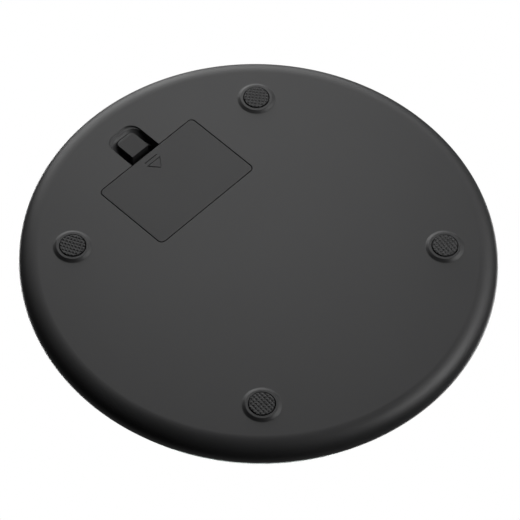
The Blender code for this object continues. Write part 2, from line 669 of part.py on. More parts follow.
def build_display():
    half_x, half_y = BOARD_SIZE[0] / 2.0, BOARD_SIZE[1] / 2.0
    box("main_board", (-half_x, DISPLAY_Y - half_y, BOARD_Z),
        (half_x, DISPLAY_Y + half_y, BOARD_Z + BOARD_SIZE[2]), "board_laminate")
    turned("chip_cover", [
        (0.0, 0.0),
        (7.0 * MM, 0.0),
        (5.5 * MM, -1.0 * MM),
        (0.0, -1.5 * MM),
    ], 16, "chip_epoxy", (0.0, DISPLAY_Y, BOARD_Z - GAP))

    board_top = BOARD_Z + BOARD_SIZE[2] + GAP
    lcd_top = FILM_Z - GAP
    lcd_low = lcd_top - 2.7 * MM
    light_half = (31.0 * MM, 15.0 * MM)
    box("lcd_backlight", (-light_half[0], DISPLAY_Y - light_half[1] + 2.0 * MM, board_top),
        (light_half[0], DISPLAY_Y + light_half[1] + 2.0 * MM, lcd_low - GAP), "light_guide")
    strip_y = DISPLAY_Y - light_half[1] + 1.7 * MM
    box("zebra_strip", (-light_half[0], strip_y - 2.5 * MM, board_top),
        (light_half[0], strip_y, lcd_low - GAP), "zebra_rubber")
    lcd_half = (33.5 * MM, 18.0 * MM)
    box("lcd_panel", (-lcd_half[0], DISPLAY_Y - lcd_half[1], lcd_low),
        (lcd_half[0], DISPLAY_Y + lcd_half[1], lcd_top), "lcd_glass")
    inner = (lcd_half[0] + GAP, lcd_half[1] + GAP)
    outer = (inner[0] + 2.2 * MM, inner[1] + 2.2 * MM)
    frame_outlines = [
        rounded_rectangle((-outer[0], -outer[1]), outer, 1.5 * MM, 2),
        rounded_rectangle((-inner[0], -inner[1]), inner, 0.2 * MM, 1),
    ]
    outline_solid("lcd_frame", frame_outlines, 0.0, lcd_top - board_top, "frame_plastic",
                  (0.0, DISPLAY_Y, board_top))

    number = 0
    for side_x in (-1, 1):
        for side_y in (-1, 1):
            number += 1
            centre = (side_x * POST_OFFSETS[0], DISPLAY_Y + side_y * POST_OFFSETS[1])
            cylinder("board_screw_{}".format(number), centre, board_top, board_top + 1.6 * MM,
                     2.4 * MM, 12, "screw_steel", top_radius=1.8 * MM)


# ---------------------------------------------------------------- assembly

def build_scale():
    build_base_shell()
    build_platform()
    for corner, (side_x, side_y) in CORNERS.items():
        build_foot(corner, side_x, side_y)
    build_cell_leads()
    build_battery_door()
    build_door_latch()
    for index in range(4):
        direction = 1 if index % 2 == 0 else -1
        build_battery(index + 1, (index - 1.5) * BATTERY_PITCH, direction)
    build_contacts()
    build_battery_leads()
    build_display()


build_scale()
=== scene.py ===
"""Looks of a round electronic bathroom scale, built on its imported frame.

The scale stands on the floor with its glass platform up. Sizes are in metres in the frame's own axes: +Z is
up, the display is towards +Y, and the battery door is in the underside towards -Y. The camera looks up at the
underside through a floor that shows from above only.
"""

import logging
import math
from dataclasses import dataclass
from enum import Enum
from typing import Sequence

import bmesh
import bpy
import numpy as np
from mathutils import Matrix, Vector


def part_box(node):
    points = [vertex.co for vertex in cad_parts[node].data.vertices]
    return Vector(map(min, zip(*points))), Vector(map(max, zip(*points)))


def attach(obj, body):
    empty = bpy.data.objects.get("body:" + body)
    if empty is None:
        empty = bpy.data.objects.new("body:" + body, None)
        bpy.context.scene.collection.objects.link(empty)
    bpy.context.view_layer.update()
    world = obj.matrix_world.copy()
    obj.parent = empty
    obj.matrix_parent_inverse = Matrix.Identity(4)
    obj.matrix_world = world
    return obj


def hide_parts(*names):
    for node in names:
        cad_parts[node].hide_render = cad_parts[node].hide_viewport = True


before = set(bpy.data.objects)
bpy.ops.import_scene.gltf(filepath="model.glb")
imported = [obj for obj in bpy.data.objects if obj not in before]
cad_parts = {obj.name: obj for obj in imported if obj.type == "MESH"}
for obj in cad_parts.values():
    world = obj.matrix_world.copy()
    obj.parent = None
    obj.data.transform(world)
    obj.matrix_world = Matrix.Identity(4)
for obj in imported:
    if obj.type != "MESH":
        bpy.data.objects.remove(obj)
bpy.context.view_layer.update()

MM = 0.001
SHARPEST = 0.02 * MM
LOG = logging.getLogger("scale")
Colour = tuple[float, float, float]
Pair = tuple[float, float]
WHITE: Colour = (1.0, 1.0, 1.0)


# ---------------------------------------------------------------- forms worked out with numpy

@dataclass
class Form:
    """A closed form: its points, and the faces between them."""

    points: np.ndarray
    faces: list[list[int]]

    def placed(self, matrix: Matrix) -> "Form":
        """The same form taken through a 4 x 4 matrix."""
        array = np.array(matrix, float)
        return Form(self.points @ array[:3, :3].T + array[:3, 3], self.faces)


def arc(centre: Pair, radii: Pair, start: float, end: float, steps: int) -> np.ndarray:
    """Points of an elliptic arc: the centre plus (a cos t, b sin t), with t from start to end.

    Args:
        centre: centre of the ellipse.
        radii: its two half axes, a and b.
        start: first angle, in degrees.
        end: last angle, in degrees.
        steps: number of chords.

    Returns:
        steps + 1 points, as an (n, 2) array.
    """
    angle = np.radians(np.linspace(start, end, steps + 1))
    return np.stack([centre[0] + radii[0] * np.cos(angle), centre[1] + radii[1] * np.sin(angle)], axis=1)


def rounded_rectangle(low: Pair, high: Pair, corner: float, steps: int = 6) -> np.ndarray:
    """Outline of a rectangle whose corners are quarter circles, anticlockwise.

    Args:
        low: corner with the smaller coordinates.
        high: corner with the larger coordinates.
        corner: radius of the corners.
        steps: chords in each corner.

    Returns:
        The outline as an (n, 2) array.
    """
    centres = ((high[0] - corner, high[1] - corner), (low[0] + corner, high[1] - corner),
               (low[0] + corner, low[1] + corner), (high[0] - corner, low[1] + corner))
    return np.concatenate([
        arc(centre, (corner, corner), 90.0 * turn, 90.0 * (turn + 1), steps)
        for turn, centre in enumerate(centres)
    ])


def loft(rings: np.ndarray, closed: bool = False) -> Form:
    """Skin over rings of points: the face (i, j) joins ring i to ring i + 1 and point j to point j + 1.

    Args:
        rings: (k, n, 3) array of k rings with n points each, the points going round.
        closed: join the last ring to the first one, where False caps both with a flat face.

    Returns:
        The closed form.
    """
    count, around = rings.shape[:2]
    index = np.arange(count * around).reshape(count, around)
    after = np.roll(index, -1, axis=0) if closed else index[1:]
    before = index if closed else index[:-1]
    quads = np.stack([before, np.roll(before, -1, 1), np.roll(after, -1, 1), after], axis=-1)
    faces = quads.reshape(-1, 4).tolist()
    if not closed:
        faces += [index[0, ::-1].tolist(), index[-1].tolist()]
    return Form(rings.reshape(-1, 3), faces)


def turned(profile: np.ndarray, steps: int, centre: Pair = (0.0, 0.0), closed: bool = False) -> Form:
    """A profile of (radius, height) points turned about an upright axis: (r cos a, r sin a, z).

    Args:
        profile: (k, 2) array of radius and height.
        steps: number of turns of the profile.
        centre: the axis's place on the floor.
        closed: the profile is a closed loop and makes a ring.

    Returns:
        The closed form.
    """
    angle = np.arange(steps) * (2.0 * math.pi / steps)
    radius, height = profile[:, :1], profile[:, 1:]
    rings = np.stack([
        centre[0] + radius * np.cos(angle), centre[1] + radius * np.sin(angle),
        np.broadcast_to(height, (len(profile), steps)),
    ], axis=-1)
    return loft(rings, closed)


def traced(pieces: Sequence[tuple[float, float, float]], chords: int = 7) -> np.ndarray:
    """Section that starts at (0, 0) and runs outwards along arcs and straights, as (out, deep) points.

    Args:
        pieces: arcs as (radius, slope at the start, slope at the end) in degrees downwards, and straights as
            (length, slope, the same slope).
        chords: number of chords in each arc.

    Returns:
        The points as an (n, 2) array.
    """
    points = [np.zeros((1, 2))]
    for size, first, last in pieces:
        if first == last:
            slope = math.radians(first)
            steps = size * np.array([[math.cos(slope), math.sin(slope)]])
        else:
            slope = np.radians(np.linspace(first, last, chords + 1))[1:]
            start, sign = math.radians(first), math.copysign(1.0, last - first)
            steps = sign * size * np.column_stack([np.sin(slope) - math.sin(start),
                                                   math.cos(start) - np.cos(slope)])
        points.append(points[-1][-1] + steps)
    return np.concatenate(points)


def stacked(outlines: Sequence[np.ndarray], heights: Sequence[float]) -> Form:
    """Flat outlines with the same number of points, set at their heights and skinned in order.

    Args:
        outlines: (n, 2) arrays, all of the same length.
        heights: the height of each outline.

    Returns:
        The closed form.
    """
    return loft(np.stack([np.column_stack([outline, np.full(len(outline), height)])
                          for outline, height in zip(outlines, heights)]))


def swept(section: np.ndarray, ends: Pair) -> Form:
    """A section of (y, z) points carried straight along X from one end to the other."""
    return loft(np.stack([np.column_stack([np.full(len(section), x), section]) for x in ends]))


def joined(forms: Sequence[Form]) -> Form:
    """Separate forms as one: the points of each follow those of the form before it.

    Args:
        forms: the forms to join.

    Returns:
        One form that holds them all.
    """
    starts = np.cumsum([0] + [len(form.points) for form in forms])
    return Form(np.concatenate([form.points for form in forms]), [
        [index + int(start) for index in face] for form, start in zip(forms, starts) for face in form.faces])


def tube(path: np.ndarray, radius: float, axis: Sequence[float], sides: int = 10) -> Form:
    """A round wire: path(i) plus radius times (cos a side(i) + sin a up(i)).

    Side is the unit cross product of the path's tangent and the axis, and up is square to both.

    Args:
        path: (n, 3) points of the centreline.
        radius: radius of the wire.
        axis: a direction that the path is never along.
        sides: corners of the wire's section.

    Returns:
        The closed form.
    """
    tangent = np.gradient(path, axis=0)
    tangent /= np.linalg.norm(tangent, axis=1, keepdims=True)
    side = np.cross(tangent, np.asarray(axis, float))
    side /= np.linalg.norm(side, axis=1, keepdims=True)
    up = np.cross(side, tangent)
    angle = np.arange(sides) * (2.0 * math.pi / sides)
    rings = path[:, None] + radius * (
        np.cos(angle)[None, :, None] * side[:, None] + np.sin(angle)[None, :, None] * up[:, None])
    return loft(rings)


@dataclass(frozen=True)
class Block:
    """An upright block on a rounded rectangle, whose section may widen or narrow with height."""

    low: Pair
    high: Pair
    corner: float = 0.4 * MM

    @classmethod
    def about(cls, x: float, half: float, y: Pair, corner: float) -> "Block":
        """A block that reaches as far to each side of x, between two places along Y."""
        return cls((x - half, y[0]), (x + half, y[1]), corner)

    def grown(self, offset: float) -> "Block":
        """The block with its sides moved outwards by an offset; its corners never become sharp."""
        low = (self.low[0] - offset, self.low[1] - offset)
        high = (self.high[0] + offset, self.high[1] + offset)
        return Block(low, high, max(self.corner + offset, SHARPEST))

    def form(self, sections: Sequence[Pair]) -> Form:
        """The block through sections of (outward offset, height).

        Args:
            sections: the offset of the sides and the height, from one end to the other.

        Returns:
            The closed form.
        """
        blocks = [self.grown(offset) for offset, _ in sections]
        return stacked([rounded_rectangle(block.low, block.high, block.corner) for block in blocks],
                       [height for _, height in sections])

    def plain(self, low_z: float, high_z: float) -> Form:
        """The block with upright sides between two heights."""
        return self.form([(0.0, low_z), (0.0, high_z)])


def round_edge(face_z: float, radius: float, inwards: int, steps: int = 4) -> list[Pair]:
    """Sections of a quarter-round edge between an underside face and an upright side.

    The angle t runs from 0 to a right angle: the offset is -radius (1 - sin t) and the height is
    face_z + radius (1 - cos t).

    Args:
        face_z: height of the face.
        radius: radius of the edge.
        inwards: -1 for the edge of a block, 1 for the mouth of a cut.
        steps: chords in the quarter circle.

    Returns:
        (offset, height) pairs from the face to the side.
    """
    angle = np.linspace(0.0, math.pi / 2.0, steps + 1)
    offset = inwards * radius * (1.0 - np.sin(angle))
    height = face_z + radius * (1.0 - np.cos(angle))
    return list(zip(offset.tolist(), height.tolist()))


def middle(node: str) -> tuple[float, ...]:
    """Middle of a CAD node's box."""
    return tuple((low + high) / 2.0 for low, high in zip(*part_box(node)))


# ---------------------------------------------------------------- Blender objects

class Joining(Enum):
    """What an exact Boolean does with its tools."""

    ADD = "UNION"
    CUT = "DIFFERENCE"
    KEEP = "INTERSECT"


def make(name: str, form: Form) -> bpy.types.Object:
    """Put a form in a mesh with its faces outwards.

    Args:
        name: name of the object and its mesh.
        form: the closed form.

    Returns:
        The new object, at the origin.
    """
    mesh = bpy.data.meshes.new(name)
    mesh.from_pydata(form.points.tolist(), [], form.faces)
    work = bmesh.new()
    work.from_mesh(mesh)
    bmesh.ops.recalc_face_normals(work, faces=work.faces)
    work.to_mesh(mesh)
    work.free()
    obj = bpy.data.objects.new(name, mesh)
    bpy.context.scene.collection.objects.link(obj)
    return obj


def shape(obj: bpy.types.Object, how: Joining, forms: Sequence[Form]) -> None:
    """Add forms to an object, or cut them from it, and keep the result as its mesh.

    Args:
        obj: the object to change.
        how: what to do with the forms.
        forms: the tools, used together.
    """
    tools = bpy.data.collections.new("tools")
    bpy.context.scene.collection.children.link(tools)
    made = [make("tool", form) for form in forms]
    for tool in made:
        bpy.context.scene.collection.objects.unlink(tool)
        tools.objects.link(tool)
    modifier = obj.modifiers.new("shape", "BOOLEAN")
    modifier.operation = how.value
    modifier.solver = "EXACT"
    modifier.operand_type = "COLLECTION"
    modifier.collection = tools
    changed = bpy.data.meshes.new_from_object(obj.evaluated_get(bpy.context.evaluated_depsgraph_get()))
    obj.modifiers.clear()
    before, obj.data = obj.data, changed
    changed.name = obj.name
    bpy.data.meshes.remove(before)
    for tool in made:
        bpy.data.meshes.remove(tool.data)
    bpy.data.collections.remove(tools)


@dataclass(frozen=True)
class Bevelling:
    """A rounding that a Bevel modifier gives to the sharp edges of a piece."""

    width: float
    segments: int = 3
    angle: float = 32.0


def present(obj: bpy.types.Object, finishes: Sequence["Finish"], body: str,
            stands_for: Sequence[str] = (), bevel: Bevelling | None = None, crease: float = 32.0) -> None:
    """Finish a piece: its materials, rounded edges, soft shading and body.

    Args:
        obj: the piece.
        finishes: one finish for each material number of its faces.
        body: the frame's body that it moves with.
        stands_for: CAD nodes that it replaces.
        bevel: rounding of the sharp edges, or None.
        crease: angle above which an edge stays sharp, in degrees.
    """
    obj.data.materials.clear()
    for finish in finishes:
        obj.data.materials.append(finish.material())
    obj.data.polygons.foreach_set("use_smooth", np.ones(len(obj.data.polygons), bool))
    obj.data.set_sharp_from_angle(angle=math.radians(crease))
    if bevel is None:
        obj.modifiers.new("normals", "WEIGHTED_NORMAL").keep_sharp = True
    else:
        modifier = obj.modifiers.new("edges", "BEVEL")
        modifier.width, modifier.segments = bevel.width, bevel.segments
        modifier.limit_method, modifier.angle_limit = "ANGLE", math.radians(bevel.angle)
        modifier.harden_normals = True
    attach(obj, body)
    if stands_for:
        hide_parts(*stands_for)
    LOG.info("piece %-24s on %-18s %6d faces", obj.name, body, len(obj.data.polygons))


# ---------------------------------------------------------------- shader nodes

@dataclass
class Nodes:
    """A node tree while it is wired up."""

    tree: bpy.types.NodeTree

    def feed(self, value: object, target: bpy.types.NodeSocket) -> None:
        """Give an input the output that feeds it, or a plain value; a colour may have three numbers."""
        if isinstance(value, bpy.types.NodeSocket):
            self.tree.links.new(value, target)
        elif target.type == "RGBA" and len(value) == 3:
            target.default_value = (*value, 1.0)
        else:
            target.default_value = value

    def add(self, kind: str, inputs: dict | None = None, **settings: object) -> bpy.types.Node:
        """Add a node.

        Args:
            kind: Blender's name of the node type.
            inputs: socket name or number to a plain value, or to the output that feeds it.
            settings: other properties of the node.

        Returns:
            The new node.
        """
        node = self.tree.nodes.new(kind)
        for key, value in settings.items():
            setattr(node, key, value)
        for key, value in (inputs or {}).items():
            self.feed(value, node.inputs[key])
        return node

    def effect(self, effect: "Effect", **inputs: object) -> bpy.types.bpy_prop_collection:
        """Place a shared effect with its own values, and give its outputs.

        Args:
            effect: which effect.
            inputs: its inputs by name, as values or as outputs that feed them.

        Returns:
            The outputs of the placed group.
        """
        node = self.add("ShaderNodeGroup", node_tree=effect.tree())
        for key, value in inputs.items():
            self.feed(value, node.inputs[key])
        return node.outputs

    def noise(self, vector: object, density: object, detail: float, roughness: float,
              distortion: float = 0.0) -> bpy.types.NodeSocket:
        """Result of a Noise Texture node, from 0 to 1.

        Args:
            vector: where the pattern is read.
            density: how many features stand in a metre.
            detail: how many finer layers are added.
            roughness: the strength of the finer layers.
            distortion: how far the pattern is bent.

        Returns:
            The noise.
        """
        return self.add("ShaderNodeTexNoise", {
            "Vector": vector, "Scale": density, "Detail": detail, "Roughness": roughness,
            "Distortion": distortion}).outputs[0]

    def maths(self, how: str, first: object, second: object = 0.5,
              clamp: bool = False) -> bpy.types.NodeSocket:
        """Result of a Math node on two values or outputs."""
        return self.add("ShaderNodeMath", {0: first, 1: second}, operation=how, use_clamp=clamp).outputs[0]

    def spread(self, value: object, source: Pair, result: Pair, kind: str = "LINEAR") -> bpy.types.NodeSocket:
        """Result of a Map Range node from one pair of limits to another.

        Args:
            value: what is mapped.
            source: limits of the value.
            result: what the limits become.
            kind: interpolation between them.

        Returns:
            The mapped value.
        """
        inputs = {"Value": value, "From Min": source[0], "From Max": source[1],
                  "To Min": result[0], "To Max": result[1]}
        return self.add("ShaderNodeMapRange", inputs, interpolation_type=kind).outputs["Result"]

    def blend(self, share: object, first: object, second: object) -> bpy.types.NodeSocket:
        """Colour that goes from first to second with the share."""
        return self.add("ShaderNodeMix", {0: share, 6: first, 7: second}, data_type="RGBA").outputs[2]

    def either(self, share: object, first: bpy.types.Node, second: bpy.types.Node) -> bpy.types.NodeSocket:
        """Shader that goes from the first to the second with the share."""
        inputs = {0: share, 1: first.outputs[0], 2: second.outputs[0]}
        return self.add("ShaderNodeMixShader", inputs).outputs[0]


def wire_grain(nodes: Nodes, brought: dict, taken: dict) -> None:
    """Height: the even grain of a moulded or cast surface. Clouds: soft clouds over it, from 0 to 1.

    Args:
        nodes: the group's tree.
        brought: sockets that bring the inputs in.
        taken: sockets that take the outputs.
    """
    slow = nodes.noise(brought["Vector"], brought["Clouds"], 2.0, 0.5)
    nodes.feed(nodes.noise(brought["Vector"], brought["Density"], 3.0, 0.55), taken["Height"])
    nodes.feed(nodes.spread(slow, (0.3, 0.7), (0.0, 1.0)), taken["Clouds"])


def wire_brushing(nodes: Nodes, brought: dict, taken: dict) -> None:
    """Height: fine parallel lines of rolled or brushed metal, along the vector's X axis.

    Args:
        nodes: the group's tree.
        brought: sockets that bring the inputs in.
        taken: sockets that take the outputs.
    """
    drawn = nodes.add("ShaderNodeMapping", {"Vector": brought["Vector"], "Scale": (0.03, 1.0, 1.0)})
    nodes.feed(nodes.noise(drawn.outputs[0], brought["Density"], 2.0, 0.6), taken["Height"])


def wire_handling(nodes: Nodes, brought: dict, taken: dict) -> None:
    """Mask: sparse marks from handling, where a slow bent noise is over a limit.

    Args:
        nodes: the group's tree.
        brought: sockets that bring the inputs in.
        taken: sockets that take the outputs.
    """
    bent = nodes.noise(brought["Vector"], brought["Density"], 4.0, 0.65, 1.2)
    above = nodes.maths("SUBTRACT", bent, brought["Limit"])
    nodes.feed(nodes.maths("MULTIPLY", above, 9.0, clamp=True), taken["Mask"])


class Effect(Enum):
    """An effect that finishes share: its group's name, inputs and outputs, and what wires it."""

    GRAIN = ("surface_grain", ("Vector", "Density", "Clouds"), ("Height", "Clouds"), wire_grain)
    BRUSHING = ("brushed_lines", ("Vector", "Density"), ("Height",), wire_brushing)
    HANDLING = ("handling_marks", ("Vector", "Density", "Limit"), ("Mask",), wire_handling)

    def tree(self) -> bpy.types.NodeTree:
        """The shader node group, made the first time that it is asked for.

        Returns:
            The node tree of the group.
        """
        name, inputs, outputs, wire = self.value
        if name not in bpy.data.node_groups:
            tree = bpy.data.node_groups.new(name, "ShaderNodeTree")
            for side, keys in (("INPUT", inputs), ("OUTPUT", outputs)):
                for key in keys:
                    kind = "NodeSocketVector" if key == "Vector" else "NodeSocketFloat"
                    tree.interface.new_socket(key, in_out=side, socket_type=kind)
            nodes = Nodes(tree)
            wire(nodes, nodes.add("NodeGroupInput").outputs, nodes.add("NodeGroupOutput").inputs)
        return bpy.data.node_groups[name]


class Surface(Nodes):
    """The nodes of one finish, with its Principled shader and the place on the piece that patterns read."""

    def __init__(self, tree: bpy.types.NodeTree) -> None:
        """Find the shader and add the Texture Coordinate node."""
        super().__init__(tree)
        self.shader = tree.nodes["Principled BSDF"]
        self.place = self.add("ShaderNodeTexCoord").outputs["Object"]

    def give(self, **values: object) -> None:
        """Feed inputs of the shader; an underscore in a name stands for a space."""
        for key, value in values.items():
            self.feed(value, self.shader.inputs[key.replace("_", " ")])

    def grain(self, density: float, clouds: float) -> bpy.types.bpy_prop_collection:
        """Outputs Height and Clouds of the grain, for two densities per metre."""
        return self.effect(Effect.GRAIN, Vector=self.place, Density=density, Clouds=clouds)

    def marks(self, density: float, limit: float) -> bpy.types.NodeSocket:
        """Mask of the marks from handling."""
        return self.effect(Effect.HANDLING, Vector=self.place, Density=density, Limit=limit)["Mask"]

    def share(self, share: bpy.types.NodeSocket, limits: Pair) -> bpy.types.NodeSocket:
        """A value between two limits for a share from 0 to 1."""
        return self.spread(share, (0.0, 1.0), limits)

    def bump(self, height: bpy.types.NodeSocket, distance: float) -> None:
        """Let a height from 0 to 1 stand up from the surface by a distance."""
        inputs = {"Strength": 1.0, "Distance": distance, "Height": height}
        self.give(Normal=self.add("ShaderNodeBump", inputs).outputs[0])


# ---------------------------------------------------------------- finishes

@dataclass(frozen=True)
class Finish:
    """A material by name. Each kind of finish wires its own nodes once, however often it is used."""

    name: str

    def material(self) -> bpy.types.Material:
        """The Blender material of this finish."""
        made = bpy.data.materials.get(self.name)
        if made is None or made.get("finish") != self.name:
            made = bpy.data.materials.new(self.name)
            made["finish"] = self.name
            made.use_nodes = True
            self.wire(Surface(made.node_tree))
            made.name = self.name
        return made

    def wire(self, look: Surface) -> None:
        """Wire the nodes of this finish to its Principled shader."""
        raise NotImplementedError


@dataclass(frozen=True)
class Moulded(Finish):
    """Plastic, rubber, foam or resin: two close tones in clouds, under a fine even grain.

    Attributes:
        tones: darker and lighter colour.
        sheen: lowest and highest roughness.
        grain_size: spacing of the grain.
        grain_depth: height of the grain.
        specular: specular level of the shader.
        cloud_size: size of the clouds.
        wear: how much smoother a mark from handling is.
    """

    tones: tuple[Colour, Colour]
    sheen: Pair
    grain_size: float
    grain_depth: float
    specular: float
    cloud_size: float
    wear: float = 0.03

    def wire(self, look: Surface) -> None:
        """Clouds mix the tones and the roughness, and the grain feeds a Bump node."""
        grain = look.grain(1.0 / self.grain_size, 1.0 / self.cloud_size)
        worn = look.maths("MULTIPLY", look.marks(2.5 / self.cloud_size, 0.62), self.wear)
        rough = look.share(grain["Clouds"], self.sheen)
        look.give(Base_Color=look.blend(grain["Clouds"], *self.tones),
                  Roughness=look.maths("SUBTRACT", rough, worn), Specular_IOR_Level=self.specular)
        look.bump(grain["Height"], self.grain_depth)


@dataclass(frozen=True)
class Metal(Finish):
    """Rolled or plated metal with fine lines, and slightly duller clouds."""

    tones: tuple[Colour, Colour]
    sheen: Pair
    line_size: float = 0.15 * MM
    line_depth: float = 0.004 * MM

    def wire(self, look: Surface) -> None:
        """Lines feed a Bump node, and clouds mix the tones and the roughness."""
        lines = look.effect(Effect.BRUSHING, Vector=look.place, Density=1.0 / self.line_size)
        clouds = look.grain(2500.0, 120.0)["Clouds"]
        look.give(Base_Color=look.blend(clouds, *self.tones), Roughness=look.share(clouds, self.sheen),
                  Metallic=1.0)
        look.bump(lines["Height"], self.line_depth)


@dataclass(frozen=True)
class ToughenedGlass(Finish):
    """Clear glass with a faint green cast and a satin ground edge. Light for shadows goes straight through.

    Attributes:
        tint: colour of the glass.
        index: refractive index.
        polish: roughness where the faces are clean and where they are smudged.
        ground_from: distance from the middle at which the ground edge starts.
        ground: roughness of the ground edge.
    """

    tint: Colour = (0.86, 0.95, 0.91)
    index: float = 1.52
    polish: Pair = (0.006, 0.012)
    ground_from: float = 143.75 * MM
    ground: float = 0.34

    def wire(self, look: Surface) -> None:
        """Smudges vary the roughness, and shadow rays meet a Transparent shader instead."""
        faces = look.share(look.marks(14.0, 0.56), self.polish)
        level = look.add("ShaderNodeVectorMath", {0: look.place, 1: (1.0, 1.0, 0.0)}, operation="MULTIPLY")
        away = look.add("ShaderNodeVectorMath", {0: level.outputs[0]}, operation="LENGTH").outputs["Value"]
        edge = look.spread(away, (self.ground_from, self.ground_from + 0.1 * MM), (0.0, self.ground))
        look.give(Roughness=look.maths("MAXIMUM", faces, edge), Base_Color=self.tint, IOR=self.index,
                  Transmission_Weight=1.0)
        shadow = look.add("ShaderNodeLightPath").outputs["Is Shadow Ray"]
        clear = look.add("ShaderNodeBsdfTransparent", {"Color": self.tint})
        seen = look.either(shadow, look.shader, clear)
        look.feed(seen, look.tree.nodes["Material Output"].inputs["Surface"])


@dataclass(frozen=True)
class Lacquer(Finish):
    """Black print on the back of the glass, with the fine sparkle of screen ink."""

    base: Colour = (0.006, 0.006, 0.007)
    fleck: Colour = (0.022, 0.023, 0.026)

    def wire(self, look: Surface) -> None:
        """Cells of a fine Voronoi pattern give flecks, and clouds vary the roughness."""
        cells = look.add("ShaderNodeTexVoronoi", {"Vector": look.place, "Scale": 2200.0})
        flecks = look.spread(cells.outputs["Distance"], (0.0, 0.35), (1.0, 0.0))
        look.give(Base_Color=look.blend(flecks, self.base, self.fleck),
                  Roughness=look.share(look.grain(1500.0, 30.0)["Clouds"], (0.2, 0.3)))


@dataclass(frozen=True)
class DisplayGlass(Finish):
    """Reflective liquid-crystal glass: a grey-green field with the fine lines of its electrodes."""

    field_tones: tuple[Colour, Colour] = ((0.20, 0.235, 0.19), (0.27, 0.31, 0.25))

    def wire(self, look: Surface) -> None:
        """Fine lines and slow clouds mix the two tones."""
        waves = look.add("ShaderNodeTexWave", {"Vector": look.place, "Scale": 700.0, "Distortion": 0.0})
        clouds = look.grain(900.0, 45.0)["Clouds"]
        share = look.maths("MULTIPLY", look.share(waves.outputs[1], (0.8, 1.0)), clouds)
        look.give(Base_Color=look.blend(share, *self.field_tones), Roughness=look.share(clouds, (0.16, 0.24)))


@dataclass(frozen=True)
class CellJacket(Finish):
    """Printed metallic sleeve of a dry cell: graphite, with a copper band and a bright line at the plus end."""

    sleeve: Colour = (0.030, 0.033, 0.038)
    band: Colour = (0.55, 0.27, 0.09)
    line: Colour = (0.65, 0.65, 0.66)
    band_end: float = 0.27
    line_limits: Pair = (0.03, 0.042)

    def wire(self, look: Surface) -> None:
        """The share of the cell's length from its plus end picks the colour."""
        along = look.add("ShaderNodeAttribute", attribute_name="along").outputs["Fac"]
        ramp = look.add("ShaderNodeValToRGB", {"Fac": along})
        ramp.color_ramp.interpolation = "CONSTANT"
        stops = ramp.color_ramp.elements
        stops[0].position, stops[0].color = 0.0, (*self.band, 1.0)
        stops[1].position, stops[1].color = self.band_end, (*self.sleeve, 1.0)
        for start, colour in zip(self.line_limits, (self.line, self.sleeve)):
            stops.new(self.band_end + start).color = (*colour, 1.0)
        grain = look.grain(1800.0, 160.0)
        look.give(Base_Color=ramp.outputs["Color"], Roughness=look.share(grain["Clouds"], (0.22, 0.32)),
                  Metallic=0.65)
        look.bump(grain["Height"], 0.004 * MM)


@dataclass(frozen=True)
class Laminate(Finish):
    """Circuit board: green mask over copper tracks, which show as lighter lines."""

    mask: Colour = (0.012, 0.10, 0.035)
    track: Colour = (0.03, 0.19, 0.07)

    def wire(self, look: Surface) -> None:
        """Edges of square cells give tracks, which also stand up a little."""
        cells = look.add("ShaderNodeTexVoronoi", {"Vector": look.place, "Scale": 330.0},
                         feature="F1", distance="CHEBYCHEV")
        tracks = look.spread(cells.outputs["Distance"], (0.42, 0.5), (0.0, 1.0))
        look.give(Base_Color=look.blend(tracks, self.mask, self.track),
                  Roughness=look.share(look.grain(2500.0, 60.0)["Clouds"], (0.3, 0.42)))
        look.bump(tracks, 0.03 * MM)


BASE_PLASTIC = Moulded("moulded_base", ((0.033, 0.033, 0.034), (0.037, 0.037, 0.038)), (0.43, 0.49),
                       0.35 * MM, 0.004 * MM, 0.5, 60.0 * MM)
DOOR_PLASTIC = Moulded("moulded_door", ((0.0275, 0.0275, 0.0285), (0.031, 0.031, 0.032)), (0.47, 0.53),
                       0.35 * MM, 0.004 * MM, 0.47, 40.0 * MM)
# The latch's tones are darker than the base plastic's: painted shade on the finger pad.
LATCH_PLASTIC = Moulded("moulded_latch", ((0.0225, 0.0225, 0.0230), (0.0255, 0.0255, 0.0260)), (0.50, 0.56),
                        0.3 * MM, 0.003 * MM, 0.42, 12.0 * MM)
PAD_RUBBER = Moulded("pad_rubber_black", ((0.038, 0.038, 0.039), (0.044, 0.044, 0.045)), (0.50, 0.60),
                     0.25 * MM, 0.008 * MM, 0.4, 6.0 * MM)
CUP_PLASTIC = Moulded("cup_plastic_black", ((0.022, 0.022, 0.022), (0.03, 0.03, 0.03)), (0.5, 0.6),
                      0.4 * MM, 0.004 * MM, 0.5, 10.0 * MM)
WHITE_PLASTIC = Moulded("white_plastic", ((0.74, 0.74, 0.71), (0.80, 0.80, 0.78)), (0.45, 0.58),
                        0.5 * MM, 0.006 * MM, 0.5, 12.0 * MM)
FRAME_PLASTIC = Moulded("frame_plastic_black", ((0.02, 0.02, 0.02), (0.028, 0.028, 0.028)), (0.5, 0.62),
                        0.4 * MM, 0.006 * MM, 0.5, 14.0 * MM)
SEGMENT_INK = Moulded("segment_grey", ((0.125, 0.145, 0.118), (0.145, 0.168, 0.137)), (0.2, 0.28),
                      0.3 * MM, 0.001 * MM, 0.5, 9.0 * MM)
GAUGE_GEL = Moulded("gauge_sealant", ((0.72, 0.71, 0.66), (0.82, 0.81, 0.77)), (0.3, 0.5),
                    1.2 * MM, 0.05 * MM, 0.5, 3.0 * MM)
FOAM_TAPE = Moulded("foam_tape_white", ((0.55, 0.55, 0.53), (0.74, 0.74, 0.72)), (0.82, 0.95),
                    0.3 * MM, 0.06 * MM, 0.3, 1.2 * MM)
LIGHT_GUIDE = Moulded("light_guide_white", ((0.78, 0.80, 0.83), (0.86, 0.88, 0.91)), (0.28, 0.4),
                      0.8 * MM, 0.004 * MM, 0.5, 10.0 * MM)
